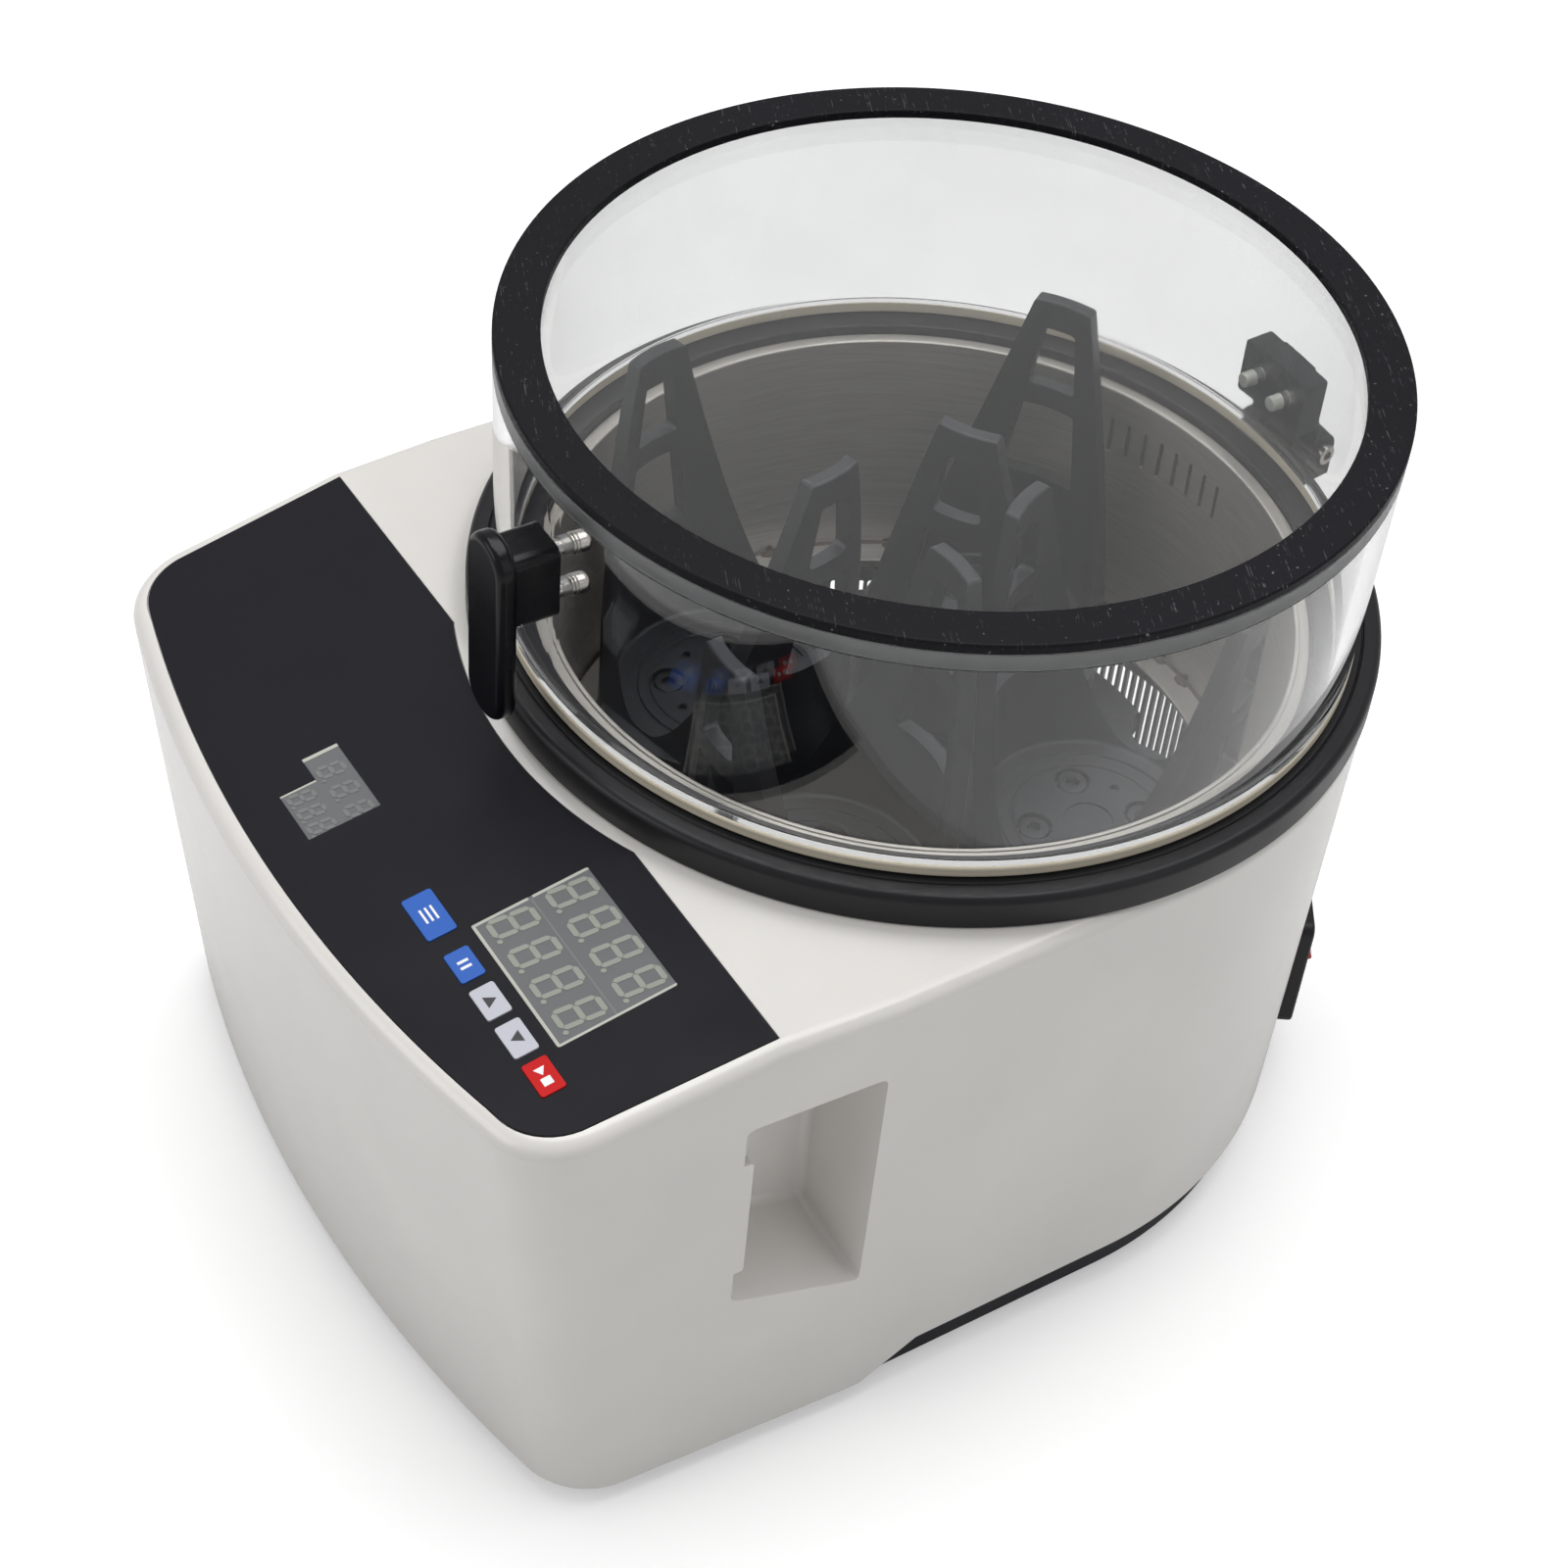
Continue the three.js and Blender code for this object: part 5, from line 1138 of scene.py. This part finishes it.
# Rings sunk in a holder's floor: outer and inner radius, depth, and rounding at the bottom
FLOOR_GROOVES = ((31.2, 28.8, 0.8, 0.2), (25.4, 24.6, 0.5, 0.1))
FLOOR_DISH = (8, 0.6)
ARM_TOP_HALF = 9.7
ARM_FOOT_HALF = 37
ARM_BAR = 10.5
ARM_ROUND = 1.6
WINDOW_SPANS = ((0, 23), (31, 29))  # how far below the bar each window starts, and its height
WINDOW_HALF = 5.5
WINDOW_SLOPE = 0.13
SCREW_REACH = 18.3
SCREW_BORE = (6, 4)
SCREW_HEAD = (5, 3.4)
SCREW_SOCKET = 2.6
SCREW_SOCKET_FLOOR = 1.2
DOWEL = (1.6, 2)


def planet_place(i):
    return turn(PLANET_START + 90 * i) @ shift(PLANET_REACH, 0, 0)


def turntable():
    disc = lathe("turntable_disc", [
        (0, TURNTABLE_LOW), (TURNTABLE_RADIUS, TURNTABLE_LOW), (TURNTABLE_RADIUS, TURNTABLE_TOP),
        (0, TURNTABLE_TOP),
    ], TURNTABLE_ROUND)
    low, high = TURNTABLE_LOW - OVER, TURNTABLE_TOP + OVER
    cutters = [rod(SHAFT_BORE, low, high, FINE)]
    for i in range(PLANETS):
        cutters.append(rod(PLANET_BORE, low, high, FINE, planet_place(i)))
        notch = turn(PLANET_START + 90 * i + 45) @ shift(NOTCH_REACH, 0, 0)
        cutters.append(rod(NOTCH_RADIUS, low, high, FINE, notch))
    carve(disc, *cutters)
    stand_in(disc, "turntable")
    hub = lathe("main_shaft_hub", [
        (0, SHAFT_LOW), (SHAFT_RADIUS, SHAFT_LOW, 0.8), (SHAFT_RADIUS, HUB_LOW, 0.1),
        (HUB_RADIUS, HUB_LOW, 0.3), (HUB_RADIUS, HUB_TOP, 1.4), (0, HUB_TOP),
    ], 1, HOLDER_STEPS)
    radius, reach = HUB_SOCKET
    low, high = HUB_TOP - HUB_SOCKET_DEPTH, HUB_TOP + HUB_SOCKET_DEPTH
    carve(hub, *[rod(radius, low, high, place=turn(60 * i) @ shift(reach)) for i in range(3)])
    stand_in(hub, "main_shaft")


def holder_look(index):
    centre = (TO_FRAME @ planet_place(index)).translation[:2]
    name = f"holder_steel_{index + 1}"
    return machined(name, (0.035, 0.037, 0.042), 0.42, centre, 1300, 3, 0.05, 0.08, 900).set(metallic=0.6)


def holder_profile():
    floor, inner = HOLDER_FLOOR, HOLDER_RADIUS - HOLDER_WALL
    profile = [
        (0, HOLDER_LOW), (HOLDER_RADIUS, HOLDER_LOW, 1.2), (HOLDER_RADIUS, ARM_TOP, 0.9),
        (inner, ARM_TOP, 0.9), (inner, floor, 1.5),
    ]
    for wide, narrow, depth, rounding in FLOOR_GROOVES:
        profile += [(wide, floor, 0.2), (wide, floor - depth, rounding)]
        profile += [(narrow, floor - depth, rounding), (narrow, floor, 0.2)]
    radius, depth = FLOOR_DISH
    return profile + [(radius, floor, 0.2), (radius, floor - depth, 0.1), (0, floor - depth)]


def holder(index):
    """A jar holder: one turned cup, of which only the floor and two tapering arms are left."""
    place = planet_place(index) @ turn(ARM_ANGLES[index] - 90 - PLANET_START - 90 * index)
    upright = place @ UPRIGHT
    cup = lathe(f"holder_{index + 1}", holder_profile(), 0.3, HOLDER_STEPS, place, 3)
    side = HOLDER_RADIUS + OVER
    arms = rounded([
        (-side, HOLDER_LOW - OVER, 0), (side, HOLDER_LOW - OVER, 0), (side, HOLDER_FLOOR, 0),
        (ARM_FOOT_HALF, HOLDER_FLOOR, 0), (ARM_TOP_HALF, ARM_TOP), (-ARM_TOP_HALF, ARM_TOP),
        (-ARM_FOOT_HALF, HOLDER_FLOOR, 0), (-side, HOLDER_FLOOR, 0),
    ], ARM_ROUND, 6)
    carve(cup, prism("arms", arms, -side, side, upright), operation="INTERSECT")
    upper = ARM_TOP - ARM_BAR
    cutters = []
    for drop, height in WINDOW_SPANS:
        low, high = upper - drop - height, upper - drop
        foot, head = (WINDOW_HALF + (upper - z) * WINDOW_SLOPE for z in (low, high))
        corners = [(-foot, low), (foot, low), (head, high), (-head, high)]
        cutters.append(prism("window", rounded(corners, ARM_ROUND), -side, side, upright))

    def spots(start, count):
        return [place @ turn(start + 90 * i) @ shift(0, SCREW_REACH) for i in range(count)]

    for (radius, depth), steps, places in ((SCREW_BORE, FINE, spots(45, 4)), (DOWEL, SMALL, spots(0, 2))):
        low, high = HOLDER_FLOOR - depth, HOLDER_FLOOR + OVER
        cutters += [rod(radius, low, high, steps, spot) for spot in places]
    carve(cup, *cutters)
    soften(cup, 0.5, 2, 50)
    stand_in(cup, f"jar_holder_{index + 1}", holder_look(index))
    screws = gather([floor_screw(f"holder_screws_{index + 1}", spot) for spot in spots(45, 4)])
    dress(screws, f"planet_{index + 1}", "dark_steel")


def floor_screw(name, place):
    low = HOLDER_FLOOR - SCREW_BORE[1] + 0.05
    radius, height = SCREW_HEAD
    top = low + height
    head = lathe(name, [(0, low), (radius, low, 0.2), (radius, top, 0.6), (0, top)], 0.3, FINE, place)
    return key_socket(head, SCREW_SOCKET, low + SCREW_SOCKET_FLOOR, place)


# Inlet, feet and base

INLET_ANGLE = 56
INLET_Z = 44
INLET_HALF = 13
INLET_RISE = 22
INLET_DEPTH = 24
BEZEL = (15, 24, 4)  # half its width, half its height and its corner
BEZEL_THICK = 4
SOCKET = (10.5, 7.5, 4)
SOCKET_DROP = 12
SOCKET_DEPTH = 11
PRONGS = ((-7, -2), (0, 2), (7, -2))
PRONG = ((-1, -12, -2), (1, -4, 2))  # its low and its high corner
ROCKER_Z = INLET_Z + 10
ROCKER_HALF = 7
ROCKER_RADIUS = 10
ROCKER_SINK = 2.6
ROCKER_TILT = 8
ROCKER_SWING = (62, 115)
WELL_DEPTH = 13
# Feet: their places, and a foot's outline as radius, height and rounding
FEET = ((100, -172), (-100, -172), (84, 88), (-84, 88))
FOOT = [(0, 2.5), (3.5, 2.5, 0.1), (3.5, 0), (9, 0, 0.8), (10, 5), (0, 5)]
BASE_LOW = 5.3
BASE_TOP = 21.3
BASE_FLOOR = 3
BASE_WALL = 2.5


def inlet_block(name, grow, face):
    low = (-INLET_HALF - grow, HALF_WIDTH - INLET_DEPTH, INLET_Z - INLET_RISE - grow)
    return block(name, low, (INLET_HALF + grow, face, INLET_Z + INLET_RISE + grow), radial(INLET_ANGLE))


def inlet():
    face = HALF_WIDTH + GAP
    front = face + BEZEL_THICK
    place = radial(INLET_ANGLE)
    upright = place @ shift(0, 0, INLET_Z) @ UPRIGHT
    bezel = prism("inlet_bezel", centred(*BEZEL), -front, WALL - HALF_WIDTH, upright)
    soften(bezel, 1.1, 3, 60)
    carve(bezel, housing_body("outside", -GAP, FOOT_Z - OVER, 0))
    fuse(bezel, inlet_block("body", 0, face))
    drop = shift(0, -SOCKET_DROP)
    socket = prism("socket", centred(*SOCKET), -front - OVER, SOCKET_DEPTH - face, upright @ drop)
    half, rise = ROCKER_HALF + GAP, ROCKER_RADIUS + GAP
    low = (-half, front - WELL_DEPTH, ROCKER_Z - rise)
    carve(bezel, socket, block("well", low, (half, front + OVER, ROCKER_Z + rise), place))
    stand_in(bezel, "mains_inlet")
    spots = [place @ shift(x, face, INLET_Z - SOCKET_DROP + z) for x, z in PRONGS]
    prongs = [soften(block("inlet_prongs", *PRONG, spot), 0.5) for spot in spots]
    dress(gather(prongs), "housing", "bright_steel")
    start, end = ROCKER_SWING
    outline = arc(0, 0, ROCKER_RADIUS, start, end, CORNER) + arc(0, 0, ROCKER_RADIUS, -end, -start, CORNER)
    place = place @ shift(0, front - ROCKER_SINK, ROCKER_Z) @ turn(ROCKER_TILT, "X") @ ALONG_X
    rocker = prism("rocker_cap", [*outline, (ROCKER_SINK, 0)], -ROCKER_HALF, ROCKER_HALF, place)
    stand_in(soften(rocker, 0.5, 3, 50), "rocker_switch", red_rocker)


def feet():
    for i, (x, y) in enumerate(FEET):
        foot = lathe(f"rubber_foot_{i + 1}", FOOT, 0.3, FINE, shift(x, y))
        stand_in(foot, f"foot_{i + 1}")


def base():
    inset = WALL + GAP
    tray = prism("base_tray", housing_outline(inset, 1), BASE_LOW, BASE_TOP)
    inside = housing_outline(inset + BASE_WALL, 1)
    carve(tray, prism("inside", inside, BASE_LOW + BASE_FLOOR, BASE_TOP + OVER))
    stand_in(tray, "base_plate", black_matt)


shell_skin()
grille()
panel()
body_ring()
bowl()
cover()
handle()
hinge()
turntable()
for planet in range(PLANETS):
    holder(planet)
inlet()
feet()
base()


# Floor, lamps and camera

FLOOR_HALF = 6
FLOOR_GLOW = 0.34
SKY_LIGHT = 0.41
# Each lamp: its place, what it points at, its size, all in metres, and its power
LAMPS = {
    "top": ((-0.2, 0.2, 1.6), (0, 0, 0.1), (1.6, 1.2), 19.5),
    "side": ((1.5, 0.6, 0.9), (0, 0, 0.15), (1.0, 1.2), 2),
    "front": ((-0.4, -1.6, 0.9), (0, 0, 0.15), (1.4, 0.8), 6),
}
SENSOR = 36
LENS = 71.88
CAMERA_PLACE = (0.58816, -0.42838, 0.82961)
CAMERA_RIGHT = Vector((0.52370492, 0.84914299, 0.06847867))
CAMERA_UP = Vector((-0.62003292, 0.32480736, 0.7141844))


def studio():
    """A plain pale floor and sky. Both look brighter to the camera than the light that they give."""
    data = bpy.data.meshes.new("floor")
    points = rectangle(-FLOOR_HALF, FLOOR_HALF, -FLOOR_HALF, FLOOR_HALF)
    data.from_pydata([(x, y, 0) for x, y in points], [], [(0, 1, 2, 3)])
    look = Look("floor", (0.86, 0.86, 0.86), 0.6)
    look.tint(look.noise(3), (0.84, 0.84, 0.845))
    glow = look.node("ShaderNodeEmission", {"Strength": look.maths("MULTIPLY", look.seen(), FLOOR_GLOW)})
    both = {0: look.shader.outputs["BSDF"], 1: glow.outputs["Emission"]}
    look.surface(look.node("ShaderNodeAddShader", both).outputs["Shader"])
    data.materials.append(look.material)
    link(bpy.data.objects.new("floor", data))
    world = bpy.data.worlds.new("studio")
    world.use_nodes = True
    scene.world = world
    sky = Nodes(world.node_tree)
    back = sky.tree.nodes["Background"].inputs
    sky.feed(back["Strength"], sky.spread(sky.seen(), SKY_LIGHT, 1, 0, 1))
    back["Color"].default_value = (1, 1, 1, 1)


def lamp(name, place, aim, size, power):
    data = bpy.data.lights.new(name, "AREA")
    data.shape = "RECTANGLE"
    data.size, data.size_y = size
    data.energy = power
    obj = link(bpy.data.objects.new(name, data))
    obj.location = place
    obj.rotation_euler = (Vector(aim) - Vector(place)).to_track_quat("-Z", "Y").to_euler()


def camera():
    data = bpy.data.cameras.new("camera")
    data.sensor_width = SENSOR
    data.lens = LENS
    data.clip_start = 0.01
    obj = link(bpy.data.objects.new("camera", data))
    back = CAMERA_RIGHT.cross(CAMERA_UP)
    turned = Matrix((CAMERA_RIGHT, CAMERA_UP, back)).transposed().to_4x4()
    obj.matrix_world = Matrix.Translation(CAMERA_PLACE) @ turned
    scene.camera = obj


studio()
for lamp_name, settings in LAMPS.items():
    lamp(lamp_name, *settings)
camera()
scene.view_settings.view_transform = "Standard"
